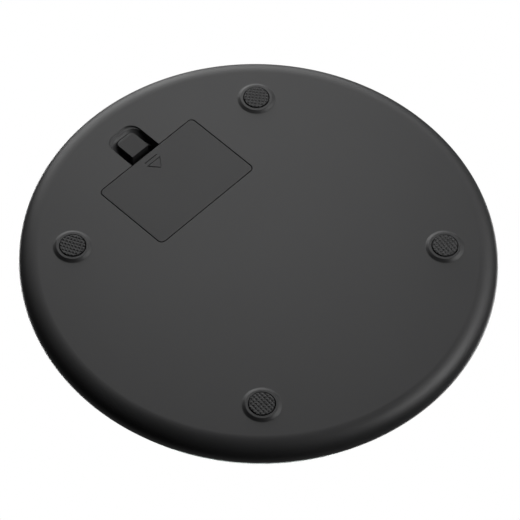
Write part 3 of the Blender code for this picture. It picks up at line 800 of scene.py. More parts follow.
ZEBRA_RUBBER = Moulded("zebra_rubber_pink", ((0.45, 0.20, 0.20), (0.66, 0.38, 0.37)), (0.6, 0.75),
                       0.3 * MM, 0.01 * MM, 0.4, 0.5 * MM)
CHIP_EPOXY = Moulded("chip_epoxy_black", ((0.010, 0.010, 0.010), (0.018, 0.018, 0.018)), (0.22, 0.4),
                     1.6 * MM, 0.05 * MM, 0.5, 3.0 * MM)
RED_SLEEVE = Moulded("lead_sleeve_red", ((0.34, 0.022, 0.016), (0.44, 0.035, 0.026)), (0.36, 0.5),
                     0.5 * MM, 0.006 * MM, 0.5, 8.0 * MM)
NICKEL = Metal("plated_nickel", ((0.66, 0.64, 0.60), (0.76, 0.75, 0.72)), (0.2, 0.3))
CELL_STEEL = Metal("load_cell_steel", ((0.42, 0.42, 0.41), (0.55, 0.55, 0.53)), (0.3, 0.42),
                   0.25 * MM, 0.006 * MM)
SCREW_STEEL = Metal("screw_zinc", ((0.50, 0.50, 0.51), (0.62, 0.62, 0.62)), (0.22, 0.34))
PLATFORM_GLASS = ToughenedGlass("toughened_glass")
FILM_PRINT = Lacquer("black_back_print")
LCD_GLASS = DisplayGlass("display_glass_grey")
JACKET = CellJacket("cell_jacket")
BOARD = Laminate("board_green")

FRAME_FINISHES = {
    "foot_cup": CUP_PLASTIC,
    "load_cell": CELL_STEEL,
    "cell_bracket": WHITE_PLASTIC,
    "strain_gauge": GAUGE_GEL,
    "cell_lead": RED_SLEEVE,
    "battery_lead": RED_SLEEVE,
    "adhesive_ring": FOAM_TAPE,
    "lcd_frame": FRAME_PLASTIC,
    "lcd_backlight": LIGHT_GUIDE,
    "zebra_strip": ZEBRA_RUBBER,
    "main_board": BOARD,
    "chip_cover": CHIP_EPOXY,
    "board_screw": SCREW_STEEL,
}


# ---------------------------------------------------------------- studio

def bench(right: float, away: float, out: float) -> Vector:
    """A point or direction on the bench, where the scale lies face down, in the frame's axes.

    Args:
        right: to the camera's right.
        away: away from the camera.
        out: out of the underside.

    Returns:
        The same in the frame, turned by an eighth of a turn and flipped over.
    """
    root = math.sqrt(0.5)
    return Vector(((right + away) * root, (right - away) * root, -out))


def around(turn: float, rise: float, distance: float) -> Vector:
    """A place round the scale on the bench.

    Args:
        turn: degrees clockwise from straight away from the camera.
        rise: degrees above the bench.
        distance: distance from the middle of the underside.

    Returns:
        The place in the frame's axes.
    """
    turn, rise = math.radians(turn), math.radians(rise)
    flat = distance * math.cos(rise)
    return bench(flat * math.sin(turn), flat * math.cos(turn), distance * math.sin(rise))


@dataclass(frozen=True)
class Softbox:
    """An area light that faces the scale."""

    name: str
    place: Vector
    size: Pair
    power: float

    def hang(self) -> bpy.types.Object:
        """Make the light and turn it to the scale.

        Returns:
            The light's object.
        """
        light = bpy.data.lights.new(self.name, "AREA")
        light.shape = "RECTANGLE"
        light.size, light.size_y = self.size
        light.energy = self.power
        obj = bpy.data.objects.new(self.name, light)
        obj.location = self.place
        obj.rotation_mode = "QUATERNION"
        obj.rotation_quaternion = (LIGHT_AIM - self.place).to_track_quat("-Z", "Y")
        obj.visible_camera = False
        bpy.context.scene.collection.objects.link(obj)
        return obj


LIGHT_AIM = Vector((0.0, 0.0, 0.005))
UNDER_LIGHTS = (  # name, turn, rise, distance, side, power
    ("far_low_left", -22.5, 10.0, 1.1, 0.6, 3.1),
    ("far_low", 0.0, 10.0, 1.1, 0.6, 2.2),
    ("far_left", -48.0, 23.0, 1.1, 0.6, 0.5),
    ("far_left_high", -22.5, 40.0, 1.1, 0.6, 1.05),
    ("far_right", 22.5, 25.0, 1.1, 0.6, 1.1),
    ("right_low", 67.5, 25.0, 1.1, 0.6, 1.0),
    ("right_mid", 67.5, 40.0, 1.1, 0.6, 0.9),
    ("right", 97.0, 40.0, 1.1, 0.6, 3.3),
    ("right_spot", 101.0, 44.0, 1.0, 0.25, 0.75),
    ("near_mid", 0.0, 45.0, 0.5, 0.3, 0.25),
    ("near_high", 0.0, 65.0, 0.5, 0.3, 0.202),
)
OVER_LIGHTS = (  # name, place, size, power
    ("key", (0.2, -1.0, 1.3), (0.9, 0.9), 22.0),
    ("fill", (1.1, 0.2, 1.2), (0.8, 0.8), 10.0),
    ("back", (0.5, -0.1, 1.6), (1.2, 0.5), 8.0),
)


@dataclass
class Studio:
    """Camera, floor, surroundings and lights."""

    azimuth: float = -2.7066
    elevation: float = 55.212
    roll: float = 2.240
    distance: float = 1.97853
    lens: float = 219.79
    aim: Pair = (0.6 * MM, -8.27 * MM)
    floor_radius: float = 40.0
    floor_colour: Colour = (0.80, 0.80, 0.79)
    floor_sides: int = 96
    floor_fade: Pair = (0.25, 1.1)
    room_light: float = 0.22
    room_light_from: Pair = (0.15, 0.75)

    def place_camera(self) -> bpy.types.Object:
        """Look up at the underside: a direction from azimuth and elevation on the bench, then a roll.

        Returns:
            The camera.
        """
        azimuth, elevation = math.radians(self.azimuth), math.radians(self.elevation)
        roll = math.radians(self.roll)
        back = Vector((math.cos(elevation) * math.sin(azimuth), -math.cos(elevation) * math.cos(azimuth),
                       math.sin(elevation)))
        level = Vector((0.0, 0.0, 1.0)).cross(back).normalized()
        upright = back.cross(level)
        right = level * math.cos(roll) + upright * math.sin(roll)
        up = upright * math.cos(roll) - level * math.sin(roll)
        target = right * self.aim[0] + up * self.aim[1]
        place = back * self.distance
        back = (place - target).normalized()
        right = up.cross(back).normalized()
        up = back.cross(right)
        right, up, back, place = (bench(*axis) for axis in (right, up, back, place))
        place.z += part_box("battery_door")[0].z
        camera = bpy.data.cameras.new("camera")
        camera.lens = self.lens
        camera.sensor_width = 36.0
        camera.clip_start, camera.clip_end = 0.05, 200.0
        obj = bpy.data.objects.new("camera", camera)
        columns = Matrix((right, up, back)).transposed().to_4x4()
        obj.matrix_world = Matrix.Translation(place) @ columns
        bpy.context.scene.collection.objects.link(obj)
        bpy.context.scene.camera = obj
        return obj

    def light_room(self) -> None:
        """White surroundings for the camera, and for everything else a soft light from above the horizon."""
        world = bpy.data.worlds.new("room")
        world.use_nodes = True
        nodes = Nodes(world.node_tree)
        nodes.tree.nodes.clear()
        seen = nodes.add("ShaderNodeBackground", {"Color": WHITE, "Strength": 1.0})
        direction = nodes.add("ShaderNodeTexCoord").outputs["Generated"]
        height = nodes.add("ShaderNodeSeparateXYZ", {0: direction}).outputs["Z"]
        strength = nodes.spread(height, self.room_light_from, (0.0, self.room_light))
        felt = nodes.add("ShaderNodeBackground", {"Color": WHITE, "Strength": strength})
        ray = nodes.add("ShaderNodeLightPath").outputs["Is Camera Ray"]
        nodes.add("ShaderNodeOutputWorld", {"Surface": nodes.either(ray, felt, seen)})
        bpy.context.scene.world = world
        bpy.context.scene.view_settings.view_transform = "Standard"

    def lay_floor(self) -> None:
        """A pale floor that shows from above only, and fades to white far from the scale."""
        sides = self.floor_sides
        angle = np.arange(sides) * (2.0 * math.pi / sides)
        points = np.stack([np.cos(angle), np.sin(angle), np.zeros(sides)], axis=1) * self.floor_radius
        mesh = bpy.data.meshes.new("floor")
        mesh.from_pydata(points.tolist(), [], [list(range(sides))])
        floor = bpy.data.objects.new("floor", mesh)
        bpy.context.scene.collection.objects.link(floor)
        material = bpy.data.materials.new("pale_floor")
        material.use_nodes = True
        nodes = Nodes(material.node_tree)
        nodes.tree.nodes.clear()
        place = nodes.add("ShaderNodeTexCoord").outputs["Object"]
        reach = nodes.add("ShaderNodeVectorMath", {0: place}, operation="LENGTH").outputs["Value"]
        share = nodes.spread(reach, self.floor_fade, (0.0, 1.0), "SMOOTHERSTEP")
        matt = nodes.add("ShaderNodeBsdfDiffuse", {"Color": self.floor_colour})
        glow = nodes.add("ShaderNodeEmission", {"Color": WHITE, "Strength": 1.0})
        near = nodes.either(share, matt, glow)
        clear = nodes.add("ShaderNodeBsdfTransparent")
        behind = nodes.add("ShaderNodeNewGeometry").outputs["Backfacing"]
        nodes.add("ShaderNodeOutputMaterial", {"Surface": nodes.either(behind, near.node, clear)})
        mesh.materials.append(material)
        floor.visible_diffuse = floor.visible_glossy = False
        floor.visible_transmission = floor.visible_shadow = False

    def softboxes(self) -> list[Softbox]:
        """Lights under the scale for its underside, and lights over it for its platform.

        Returns:
            All lights in order.
        """
        under = [Softbox("under_" + name, around(turn, rise, distance), (side, side), power)
                 for name, turn, rise, distance, side, power in UNDER_LIGHTS]
        return under + [Softbox("over_" + name, Vector(place), size, power)
                        for name, place, size, power in OVER_LIGHTS]

    def build(self) -> None:
        """Set up everything round the scale."""
        self.place_camera()
        self.light_room()
        self.lay_floor()
        for softbox in self.softboxes():
            softbox.hang()
            LOG.info("light %s", softbox.name)


# ---------------------------------------------------------------- base shell

WELL_RAMP = ((0.5 * MM, 0.0, 46.0), (0.7 * MM, 46.0, 46.0), (0.8 * MM, 46.0, -14.0), (0.5 * MM, -14.0, -14.0),
             (1.4 * MM, -14.0, 36.0), (9.6 * MM, 36.0, 36.0), (2.0 * MM, 36.0, 0.0))


@dataclass
class BaseShell:
    """The one-piece base: a turned pan with four collars, the battery bay, the finger well and ribs."""

    radius: float = 150.0 * MM
    flat_radius: float = 137.2 * MM
    widest_z: float = 12.1 * MM
    top_radius: float = 147.0 * MM
    top_z: float = 16.3 * MM
    wall: float = 2.2 * MM
    rim_wall: float = 144.6 * MM
    ring_rib: Pair = (136.8 * MM, 139.4 * MM)
    trough_z: float = 8.0 * MM
    steps: int = 288
    edge: float = 0.25 * MM
    collar_z: float = 0.8 * MM
    collar_flat: float = 9.9 * MM
    collar_slope: float = 33.0
    collar_rounds: Pair = (0.9 * MM, 1.5 * MM)
    hole: float = 8.3 * MM
    hole_round: float = 0.5 * MM
    door_gap: float = 0.5 * MM
    door_corner: float = 3.0 * MM
    ceiling_z: float = 4.2 * MM
    ledge_z: float = 5.7 * MM
    well_half: float = 12.0 * MM
    well_outer_y: float = -125.2 * MM
    well_corner: float = 8.0 * MM
    well_top_z: float = 13.7 * MM
    bay_half: float = 28.0 * MM
    bay_y: Pair = (-97.1 * MM, -45.6 * MM)
    bay_top_z: float = 15.2 * MM
    bay_wall: float = 1.2 * MM
    well_wall: float = 1.5 * MM
    recess_y: Pair = (-100.6 * MM, -44.2 * MM)
    recess_wall: float = 2.2 * MM
    tongue_x: float = 35.5 * MM
    post_x: float = 40.0 * MM
    post_y: Pair = (79.0 * MM, 117.0 * MM)
    brace_y: float = 30.0 * MM
    brace_half: Pair = (125.0 * MM, 0.8 * MM)
    brace_top: float = 8.9 * MM
    cell_pitch: float = 14.0 * MM

    @property
    def face_z(self) -> float:
        """Height of the flat underside."""
        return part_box("battery_door")[0].z

    def profile(self) -> np.ndarray:
        """Section of the pan, from its inner floor over the rim to the edge of the flat underside.

        The lower rim is a quarter ellipse from the flat underside to the widest line, and the upper rim is a
        quarter ellipse from there to the rim's top.

        Returns:
            (radius, height) points.
        """
        z, top, trough, wall = self.face_z, self.top_z, self.trough_z, self.wall
        inner = arc((self.flat_radius - wall, trough),
                    (self.ring_rib[0] - self.flat_radius + wall, trough - z - wall), -90.0, 0.0, 5)
        lip = 0.5 * MM
        rib = [(self.ring_rib[0], top), (self.ring_rib[1], top), (self.ring_rib[1], trough),
               (self.rim_wall - wall, trough), (self.rim_wall, trough + wall),
               (self.rim_wall, top), (self.top_radius - lip, top)]
        crown = arc((self.top_radius - lip, top - lip), (lip, lip), 75.0, 45.0, 2)
        upper = arc((self.top_radius, self.widest_z), (self.radius - self.top_radius, top - self.widest_z),
                    72.0, 0.0, 9)
        lower = arc((self.flat_radius, self.widest_z), (self.radius - self.flat_radius, self.widest_z - z),
                    0.0, -90.0, 30)
        return np.concatenate([inner, rib, crown, upper, lower[1:]])

    def collar(self, centre: Pair) -> Form:
        """The raised ring round a foot: a convex edge, a cone, and a concave fillet into the underside.

        Args:
            centre: the foot's place.

        Returns:
            The closed form.
        """
        slope, face_z = math.radians(self.collar_slope), self.face_z
        top, base = self.collar_rounds
        angle = np.linspace(0.0, slope, 7)
        convex = np.stack([self.collar_flat + top * np.sin(angle),
                           self.collar_z + top * (1 - np.cos(angle))], 1)
        rise = (face_z - base * (1 - math.cos(slope))) - convex[-1, 1]
        start = convex[-1, 0] + rise / math.tan(slope)
        angle = angle[::-1]
        concave = np.stack([start + base * (math.sin(slope) - np.sin(angle)),
                            face_z - base * (1 - np.cos(angle))], 1)
        concave[-1, 1] += 0.004 * MM  # the foot of the fillet ends just inside the underside
        inside = np.array([[concave[-1, 0], face_z + self.wall / 2.0]])
        return turned(np.concatenate([convex, concave, inside]), 96, centre)

    def foot_hole(self, centre: Pair) -> Form:
        """Cutter for the hole that a foot moves in, with a rounded mouth.

        Args:
            centre: the foot's place.

        Returns:
            The closed form.
        """
        mouth = [(self.hole_round, self.collar_z - 0.5 * MM),
                 *round_edge(self.collar_z, self.hole_round, 1, 6), (0.0, 8.6 * MM)]
        return turned(np.array(mouth) + (self.hole, 0.0), 96, centre)

    def well_outline(self, offset: float, outer_y: float) -> np.ndarray:
        """Outline of the finger well at one height: square at the door, with round outer corners.

        Args:
            offset: how far the sides are moved outwards.
            outer_y: where the outer end is.

        Returns:
            The outline as an (n, 2) array.
        """
        half, corner = self.well_half + offset, self.well_corner + offset
        inner = self.bay_y[0] - self.bay_wall
        left = arc((-half + corner, outer_y + corner), (corner, corner), 180.0, 270.0, 14)
        right = arc((half - corner, outer_y + corner), (corner, corner), 270.0, 360.0, 14)
        return np.concatenate([[(half, inner), (-half, inner)], left, right])

    def well(self) -> Form:
        """Cutter for the finger well, with upright sides and a ramp at its outer end.

        A shallow step follows the outer edge, and from it the ramp runs down and levels out under the latch.
        Behind that the well is deep.

        Returns:
            The closed form.
        """
        face_z = self.face_z
        ramp = traced(WELL_RAMP)[:-1]
        start_y = self.well_outer_y - MM
        side = self.edge * (1.0 - np.sqrt(1.0 - np.clip(1.0 - ramp[:, 1] / self.edge, 0.0, 1.0) ** 2))
        sections = [(self.edge, start_y, face_z - MM)]
        sections += [(offset, start_y + out, face_z + deep + 0.001 * MM * step)
                     for step, (offset, (out, deep)) in enumerate(zip(side.tolist(), ramp.tolist()))]
        deepest = sections[-1][2]
        sections += [(0.0, -111.5 * MM, deepest + 0.3 * MM), (0.0, -110.0 * MM, self.well_top_z)]
        return stacked([self.well_outline(offset, y) for offset, y, _ in sections],
                       [height for _, _, height in sections])

    def build(self) -> bpy.types.Object:
        """Turn the pan, add the blocks, cut the openings, and add the ribs between the cells.

        Returns:
            The finished shell.
        """
        shell = make("shell", turned(self.profile(), self.steps))
        inside, wall = self.face_z + self.wall / 2.0, self.bay_wall
        centres = [middle(node)[:2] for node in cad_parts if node.startswith("foot_pad")]
        door_low, door_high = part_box("battery_door")
        recess = Block((door_low.x - self.door_gap, self.recess_y[0]),
                       (door_high.x + self.door_gap, self.recess_y[1]), self.door_corner + self.door_gap)
        bay = Block.about(0.0, self.bay_half, self.bay_y, 1.0 * MM)
        well_y = (self.well_outer_y - self.well_wall, self.bay_y[0] - wall / 2.0)
        well = Block.about(0.0, self.well_half + self.well_wall, well_y, 2.0 * MM)
        long, thick = self.brace_half
        braces = [Block.about(0.0, long, (y - thick, y + thick), 0.4 * MM)
                  for y in (-self.brace_y, self.brace_y)]
        post = np.array([(3.3 * MM, inside), (3.0 * MM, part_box("main_board")[0].z - 0.3 * MM)])
        tongues = [Block.about(x, 4.2 * MM, (-49.0 * MM, -42.5 * MM), 0.5 * MM)
                   for x in (-self.tongue_x, self.tongue_x)]
        rib_y = (self.bay_y[0] + 6.0 * MM, self.bay_y[1] - 6.0 * MM)
        rib = [(-0.3 * MM, 9.6 * MM), (0.0, 10.0 * MM), (0.2 * MM, self.bay_top_z + 0.5 * MM)]
        shape(shell, Joining.ADD, [self.collar(centre) for centre in centres])
        shape(shell, Joining.ADD, [
            recess.grown(self.recess_wall).plain(inside, self.ledge_z),
            Block((-self.bay_half - wall, self.bay_y[0] - wall), (self.bay_half + wall, self.bay_y[1] + wall),
                  1.6 * MM).plain(inside, self.bay_top_z + 1.0 * MM),
            well.plain(inside, self.well_top_z + self.well_wall),
            *[brace.plain(inside, self.brace_top) for brace in braces],
            *[turned(post, 32, (x, y)) for x in (-self.post_x, self.post_x) for y in self.post_y],
        ])
        shape(shell, Joining.CUT, [
            recess.form([(self.edge, self.face_z - MM), *round_edge(self.face_z, self.edge, 1),
                         (0.0, self.ceiling_z)]),
            bay.form([(0.3 * MM, inside), *round_edge(self.ceiling_z, 0.3 * MM, 1), (0.0, self.bay_top_z)]),
            self.well(), *[tongue.plain(inside, self.ledge_z + MM) for tongue in tongues],
            *[self.foot_hole(centre) for centre in centres],
        ])
        shape(shell, Joining.ADD, [Block.about(x, 0.8 * MM, rib_y, 0.5 * MM).form(rib)
                                   for x in (-self.cell_pitch, 0.0, self.cell_pitch)])
        present(shell, [BASE_PLASTIC], "root", ["base_shell"])
        return shell


# ---------------------------------------------------------------- feet

@dataclass
class FootPad:
    """A round rubber pad with a square knurl of blunt pyramids, turned as it happens to stand."""

    corner: str
    turn: float
    pitch: float = 2.25 * MM
    depth: float = 0.55 * MM
    tip: float = 0.20 * MM
    groove: float = 0.04 * MM
    edge: float = 0.4 * MM
    rings: int = 64
    steps: int = 240

    def knurl(self, x: np.ndarray, y: np.ndarray) -> np.ndarray:
        """Height of the tread over the floor.

        In each square cell the larger of the two distances from the cell's middle gives the height: 0 on the
        blunt tip, then rising evenly to the full depth in the groove between cells.

        Args:
            x: distances from the pad's middle along X.
            y: distances from the pad's middle along Y.

        Returns:
            The heights, in the shape of x.
        """
        angle = math.radians(self.turn)
        along = (x * math.cos(angle) + y * math.sin(angle)) / self.pitch
        across = (y * math.cos(angle) - x * math.sin(angle)) / self.pitch
        away = np.maximum(np.abs(along - np.round(along)), np.abs(across - np.round(across))) * self.pitch
        share = (away - self.tip) / (self.pitch / 2.0 - self.groove - self.tip)
        return self.depth * np.clip(share, 0.0, 1.0)

    def build(self) -> bpy.types.Object:
        """Rings from the middle to the edge with the knurl's height, a rounded edge, and the side.

        Returns:
            The finished pad.
        """
        low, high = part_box("foot_pad_" + self.corner)
        centre, radius = (low + high) / 2.0, (high.x - low.x) / 2.0
        turns = np.radians([20.0, 40.0, 60.0, 76.0, 90.0])
        reach = np.concatenate([np.linspace(0.05 * MM, radius - self.edge, self.rings),
                                radius - self.edge * (1.0 - np.sin(turns))])
        angle = np.arange(self.steps) * (2.0 * math.pi / self.steps)
        x, y = reach[:, None] * np.cos(angle), reach[:, None] * np.sin(angle)
        beyond = np.clip(reach - (radius - self.edge), 0.0, self.edge)
        rounding = self.edge - np.sqrt(np.maximum(self.edge ** 2 - beyond ** 2, 0.0))
        z = np.maximum(self.knurl(x, y), rounding[:, None])
        tread = np.stack([x + centre.x, y + centre.y, z + low.z], axis=-1)
        side = tread[-1:].copy()
        side[..., 2] = high.z
        pad = make("pad_" + self.corner, loft(np.concatenate([tread, side])))
        present(pad, [PAD_RUBBER], "foot_" + self.corner, ["foot_pad_" + self.corner],
                crease=50.0)
        return pad


# ---------------------------------------------------------------- battery door and latch

@dataclass
class BatteryDoor:
    """The flush door with its arrow mark, its tongues, and the inner leg of the latch's spring."""

    half_width: float = 41.1 * MM
    outer_y: float = -100.1 * MM
    inner_y: float = -44.7 * MM
    thickness: float = 1.8 * MM
    corner: float = 3.0 * MM
    edge: float = 0.25 * MM
    leg_half: float = 7.0 * MM
    leg_top: float = 8.7 * MM
    tongue_x: float = 35.5 * MM
    mark_depth: float = 0.5 * MM
    mark_line: float = 0.85 * MM
    mark_y: float = -95.8 * MM
    mark_half: float = 5.3 * MM

    def mark(self) -> list[Form]:
        """Cutters for the opening mark: a line near the latch, and a triangle of lines that points away.

        Returns:
            The cutter of the line and the cutter of the triangle.
        """
        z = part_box("battery_door")[0].z
        low_z, high_z, half = z - MM, z + self.mark_depth, self.mark_line / 2.0
        line = Block.about(0.0, self.mark_half, (self.mark_y - half, self.mark_y + half), 0.2 * MM)
        corners = np.array([(-5.3, -93.1), (5.3, -93.1), (0.0, -86.6)]) * MM
        middle = np.array([0.0, -91.0 * MM])
        away = (corners - middle) / np.linalg.norm(corners - middle, axis=1, keepdims=True)
        reach = np.array([[1.9], [1.9], [1.6]]) * half
        rings = [(1.0, low_z), (0.75, high_z), (-0.75, high_z), (-1.0, low_z)]
        frame_rings = np.stack([np.column_stack([corners + away * reach * side, np.full(3, height)])
                                for side, height in rings])
        return [line.form([(0.0, low_z), (-0.08 * MM, high_z)]), loft(frame_rings, closed=True)]

    def build(self) -> bpy.types.Object:
        """Plate, leg and tongues, with shallow pockets in the inner face.

        Returns:
            The finished door.
        """
        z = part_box("battery_door")[0].z
        plate = Block((-self.half_width, self.outer_y), (self.half_width, self.inner_y), self.corner)
        top = z + self.thickness
        door = make("door", plate.form(round_edge(z, self.edge, -1) + [
            (0.0, top - 0.15 * MM), (-0.15 * MM, top)]))
        inside = z + self.thickness / 2.0
        leg = Block.about(0.0, self.leg_half, (self.outer_y + 0.02 * MM, self.outer_y + 1.2 * MM), 0.25 * MM)
        gusset_y = (self.outer_y + 0.6 * MM, self.outer_y + 2.2 * MM)
        gussets = [Block.about(x, 0.5 * MM, gusset_y, 0.2 * MM).plain(inside, top + 0.3 * MM)
                   for x in (-6.0 * MM, 6.0 * MM)]
        tongue = np.array([(-3.0, inside / MM), (-0.5, inside / MM), (-0.5, 4.6), (1.5, 4.6), (1.8, 4.85),
                           (1.8, 5.35), (1.55, 5.6), (-3.0, 5.6)]) * MM
        tongue[:, 0] += self.inner_y
        half = 3.5 * MM
        tongues = [swept(tongue, (x - half, x + half)) for x in (-self.tongue_x, self.tongue_x)]
        shape(door, Joining.ADD, [leg.plain(inside, self.leg_top), *gussets, *tongues])
        half, pocket = 11.0 * MM, [(-0.2 * MM, top - 0.5 * MM), (0.0, top + MM)]
        pockets = [Block.about(x, half, (y - half, y + half), 2.0 * MM).form(pocket)
                   for x in (-26.0 * MM, 0.0, 26.0 * MM) for y in (-84.0 * MM, -59.5 * MM)]
        shape(door, Joining.CUT, [*pockets, *self.mark()])
        present(door, [DOOR_PLASTIC], "battery_door", ["battery_door"])
        return door


@dataclass
class DoorLatch:
    """Bend, outer leg and finger pad of the U spring that holds the door."""

    half_width: float = 7.0 * MM
    bend_y: float = -102.6 * MM
    bend_z: float = 9.0 * MM
    inner: float = 2.5 * MM
    wall: float = 1.2 * MM
    pad_z: float = 2.5 * MM
    end_y: float = -120.4 * MM
    roll: float = 6.0 * MM
    roll_turn: float = 20.0
    lip: float = 2.0 * MM
    plan_corner: float = 3.2 * MM

    def profile(self) -> np.ndarray:
        """Closed section in the upright plane along the latch: (y, z) points.

        Returns:
            The section as an (n, 2) array.
        """
        outer, roll = self.inner + self.wall, self.roll
        centre = (self.end_y + roll * math.sin(math.radians(self.roll_turn)), self.pad_z + roll)
        bend = (self.bend_y, self.bend_z)
        return np.concatenate([
            arc(bend, (self.inner, self.inner), 0.0, 180.0, 16),
            [(self.bend_y - self.inner, self.pad_z)],
            arc(centre, (roll, roll), 270.0, 270.0 - self.roll_turn, 10),
            [(self.end_y, self.pad_z + self.lip), (self.end_y + self.wall, self.pad_z + self.lip)],
            [(self.bend_y - outer, self.pad_z + self.wall)],
            arc(bend, (outer, outer), 180.0, 0.0, 20),
        ])

    def build(self) -> bpy.types.Object:
        """Sweep the section across the latch, and round its corners in plan.

        Returns:
            The finished latch.
        """
        latch = make("latch", swept(self.profile(), (-self.half_width, self.half_width)))
        plan = Block.about(0.0, self.half_width, (self.end_y, self.bend_y + 9.0 * MM), self.plan_corner)
        shape(latch, Joining.KEEP, [plan.plain(1.0 * MM, 15.0 * MM)])
        present(latch, [LATCH_PLASTIC], "door_latch", ["door_latch"], Bevelling(0.16 * MM))
        return latch


# ---------------------------------------------------------------- platform and display

@dataclass
class Platform:
    """The glass disc with ground edges, and the black film on its back with the display's window."""

    edge: float = 0.8 * MM
    steps: int = 256
    window: Pair = (62.0 * MM, 32.0 * MM)
    window_corner: float = 2.0 * MM

    def build(self) -> None:
        """Turn the glass with a rounded bevel on both edges, and cut the window in the film."""
        low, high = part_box("glass_platform")
        radius, edge = (high.x - low.x) / 2.0, self.edge
        round_up = arc((radius - edge, high.z - edge), (edge, edge), 90.0, 0.0, 6)
        round_down = arc((radius - edge, low.z + edge), (edge, edge), 0.0, -90.0, 6)
        glass = make("glass", turned(np.concatenate([round_up, round_down]), self.steps))
        present(glass, [PLATFORM_GLASS], "root", ["glass_platform"])
        low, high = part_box("backing_film")
        film_radius = (high.x - low.x) / 2.0
        film = make("film", turned(np.array([(film_radius, low.z), (film_radius, high.z)]), self.steps))
        middle_y, half_y = middle("lcd_panel")[1], self.window[1] / 2.0
        opening = Block.about(0.0, self.window[0] / 2.0, (middle_y - half_y, middle_y + half_y),
                              self.window_corner)
        shape(film, Joining.CUT, [opening.plain(low.z - MM, high.z + MM)])
        present(film, [FILM_PRINT], "root", ["backing_film"])


class Segment(Enum):
    """The seven bars of a digit: (place across, place up, upright or not), in half heights."""

    TOP = (0.0, 1.0, False)
    MIDDLE = (0.0, 0.0, False)
    BOTTOM = (0.0, -1.0, False)
    UPPER_LEFT = (-1.0, 0.5, True)
    UPPER_RIGHT = (1.0, 0.5, True)
    LOWER_LEFT = (-1.0, -0.5, True)
    LOWER_RIGHT = (1.0, -0.5, True)


@dataclass
class Display:
    """Liquid-crystal glass with four unlit digits and a point, under the window in the film."""

    digit_height: float = 18.0 * MM
    digit_width: float = 9.0 * MM
    bar: float = 1.7 * MM
    spacing: float = 13.2 * MM
    lift: float = 0.03 * MM
    digits: int = 4
    gap: float = 0.5 * MM
    point: float = 0.9 * MM

    def bar_form(self, centre: Pair, length: float, upright: bool, low_z: float) -> Form:
        """One bar: a flat hexagon with pointed ends.

        Args:
            centre: the bar's middle.
            length: from point to point.
            upright: the bar runs along Y.
            low_z: height of its underside.

        Returns:
            The closed form.
        """
        half, width = length / 2.0, self.bar / 2.0
        outline = np.array([(-half, 0.0), (-half + width, -width), (half - width, -width), (half, 0.0),
                            (half - width, width), (-half + width, width)])
        if upright:
            outline = outline[:, ::-1] * (-1.0, 1.0)
        outline = outline + np.asarray(centre)
        return stacked([outline, outline], [low_z, low_z + self.lift])

    def build(self) -> None:
        """Make the glass block, then all bars as one mesh."""
        low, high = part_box("lcd_panel")
        block = Block((low.x, low.y), (high.x, high.y), 0.6 * MM)
        panel = make("lcd", block.form([(-0.1 * MM, low.z), (0.0, low.z + 0.1 * MM),
                                        (0.0, high.z - 0.15 * MM), (-0.15 * MM, high.z)]))
        present(panel, [LCD_GLASS], "root", ["lcd_panel"])
        middle_y = middle("lcd_panel")[1]
        half_w, half_h = self.digit_width / 2.0, self.digit_height / 2.0
        forms = []
        for place in range(self.digits):
            x = (place - (self.digits - 1) / 2.0) * self.spacing
            for segment in Segment:
                across, up, upright = segment.value
                length = (half_h if upright else self.digit_width) - self.gap
                centre = (x + across * half_w, middle_y + up * half_h)
                forms.append(self.bar_form(centre, length, upright, high.z))
        forms.append(turned(np.array([(self.point, high.z), (self.point, high.z + self.lift)]), 20,
                            (self.spacing, middle_y - half_h)))
        present(make("lcd_segments", joined(forms)), [SEGMENT_INK], "root")


# ---------------------------------------------------------------- batteries and contacts

@dataclass
class DryCell:
    """One dry cell: steel cap and foot, with a printed sleeve that is rolled over at both ends."""

    number: int
    plus: int
    nub_radius: float = 1.9 * MM
    nub: float = 0.9 * MM
    roll: float = 0.45 * MM
    sleeve_lap: float = 1.2 * MM
    steps: int = 64

    def build(self) -> bpy.types.Object:
        """Turn the section about the cell's axis and note each point's share of the length.

        Returns:
            The finished cell.
        """
        node = f"battery_{self.number}"
        low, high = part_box(node)
        centre = middle(node)
        radius, length = (high.x - low.x) / 2.0, high.y - low.y
        nub, fine, shoulder = self.nub_radius, 0.25 * MM, length - self.nub
        roll = self.roll
        top = arc((radius - roll, shoulder - roll), (roll, roll), 0.0, 90.0, 5)
        foot = arc((radius - roll, roll), (roll, roll), -90.0, 0.0, 5)
        section = np.concatenate([
            [(0.4 * MM, fine), (radius - 1.6 * MM, fine), (radius - 1.3 * MM, 0.02 * MM)], foot, top,
            [(radius - 1.1 * MM, shoulder), (radius - 1.25 * MM, shoulder - fine),
             (nub + 0.5 * MM, shoulder - fine), (nub, shoulder + 0.1 * MM), (nub, length - fine),
             (nub - fine, length), (0.3 * MM, length)],
        ])
        form = turned(section, self.steps)
        along = 1.0 - form.points[:, 2] / length
        side = float(self.plus)
        turn = Matrix(((1.0, 0.0, 0.0, centre[0]),
                       (0.0, 0.0, side, low.y if self.plus > 0 else high.y),
                       (0.0, -side, 0.0, centre[2]), (0.0, 0.0, 0.0, 1.0)))
        cell = make(f"cell_{self.number}", form.placed(turn))
        attribute = cell.data.attributes.new("along", "FLOAT", "POINT")
        attribute.data.foreach_set("value", along.astype(np.float32))
        present(cell, [JACKET, NICKEL], "root", [node])
        faces = cell.data.polygons
        centres = np.empty(len(faces) * 3, np.float32)
        faces.foreach_get("center", centres)
        from_axis = np.hypot(centres[0::3] - centre[0], centres[2::3] - centre[2])
        faces.foreach_set("material_index", (from_axis < radius - self.sleeve_lap).astype(np.int32))
        return cell


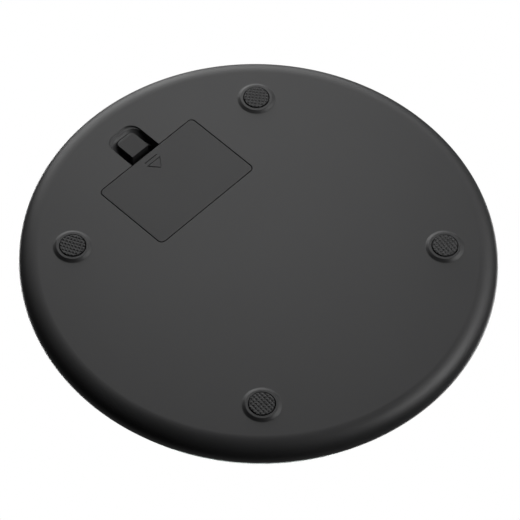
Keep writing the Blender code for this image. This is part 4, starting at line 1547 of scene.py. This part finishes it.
@dataclass
class Contacts:
    """Sheet contacts at both ends of the bay and a conical spring for each cell."""

    springs: int = 4
    wire: float = 0.35 * MM
    radii: Pair = (3.6 * MM, 2.2 * MM)
    turns: float = 3.25
    flat_share: float = 0.12

    def spring(self, number: int) -> bpy.types.Object:
        """A coil that narrows evenly towards the cell and is flat at both ends: (r cos a, y, r sin a).

        Args:
            number: the number of its cell.

        Returns:
            The finished spring.
        """
        node = f"contact_spring_{number}"
        low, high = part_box(node)
        inwards = 1.0 if middle(node)[1] < middle("battery_1")[1] else -1.0
        wide_y = (low.y if inwards > 0 else high.y) + inwards * self.wire
        narrow_y = (high.y if inwards > 0 else low.y) - inwards * self.wire
        centre_x, _, centre_z = middle(f"battery_{number}")
        share = np.linspace(0.0, 1.0, 140)
        angle = 2.0 * math.pi * self.turns * share
        radius = self.radii[0] + (self.radii[1] - self.radii[0]) * share
        climb = np.clip((share - self.flat_share) / (1.0 - 2.0 * self.flat_share), 0.0, 1.0)
        path = np.stack([centre_x + radius * np.cos(angle), wide_y + (narrow_y - wide_y) * climb,
                         centre_z + radius * np.sin(angle)], axis=1)
        coil = make(f"spring_{number}", tube(path, self.wire, (0.0, 1.0, 0.0)))
        present(coil, [NICKEL], "root", [node], crease=60.0)
        return coil

    def plate(self, node: str) -> bpy.types.Object:
        """A sheet contact with round corners and softened edges.

        Args:
            node: the CAD node that it stands for.

        Returns:
            The finished contact.
        """
        low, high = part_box(node)
        block = Block((low.x, low.z), (high.x, high.z), 1.0 * MM)
        edge = 0.12 * MM
        form = block.form([(-edge, low.y), (0.0, low.y + edge), (0.0, high.y - edge), (-edge, high.y)])
        plate = make(node.replace("contact_", "plate_"), Form(form.points[:, [0, 2, 1]], form.faces))
        present(plate, [NICKEL], "root", [node])
        return plate

    def build(self) -> None:
        """Make every spring and every sheet contact of the frame."""
        for number in range(1, self.springs + 1):
            self.spring(number)
        for node in sorted(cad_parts):
            if node.startswith("contact_") and "spring" not in node:
                self.plate(node)


# ---------------------------------------------------------------- carried-over nodes

def dress_frame() -> None:
    """Give each CAD node that stays in sight its finish."""
    for name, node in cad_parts.items():
        for start, finish in FRAME_FINISHES.items():
            if name.startswith(start):
                for place in node.material_slots:
                    place.material = finish.material()
                LOG.info("node %-25s %s", name, finish.name)


def main() -> None:
    """Build the studio, then every part of the scale."""
    logging.basicConfig(level=logging.INFO, format="%(message)s")
    Studio().build()
    BaseShell().build()
    for corner, turn in (("front_right", 53.0), ("front_left", 65.0), ("back_right", 11.0), ("back_left", 5.0)):
        FootPad(corner, turn).build()
    BatteryDoor().build()
    DoorLatch().build()
    Platform().build()
    Display().build()
    for number in range(1, 5):
        DryCell(number, 1 if number % 2 == 1 else -1).build()
    Contacts().build()
    dress_frame()


if __name__ == "__main__":
    main()
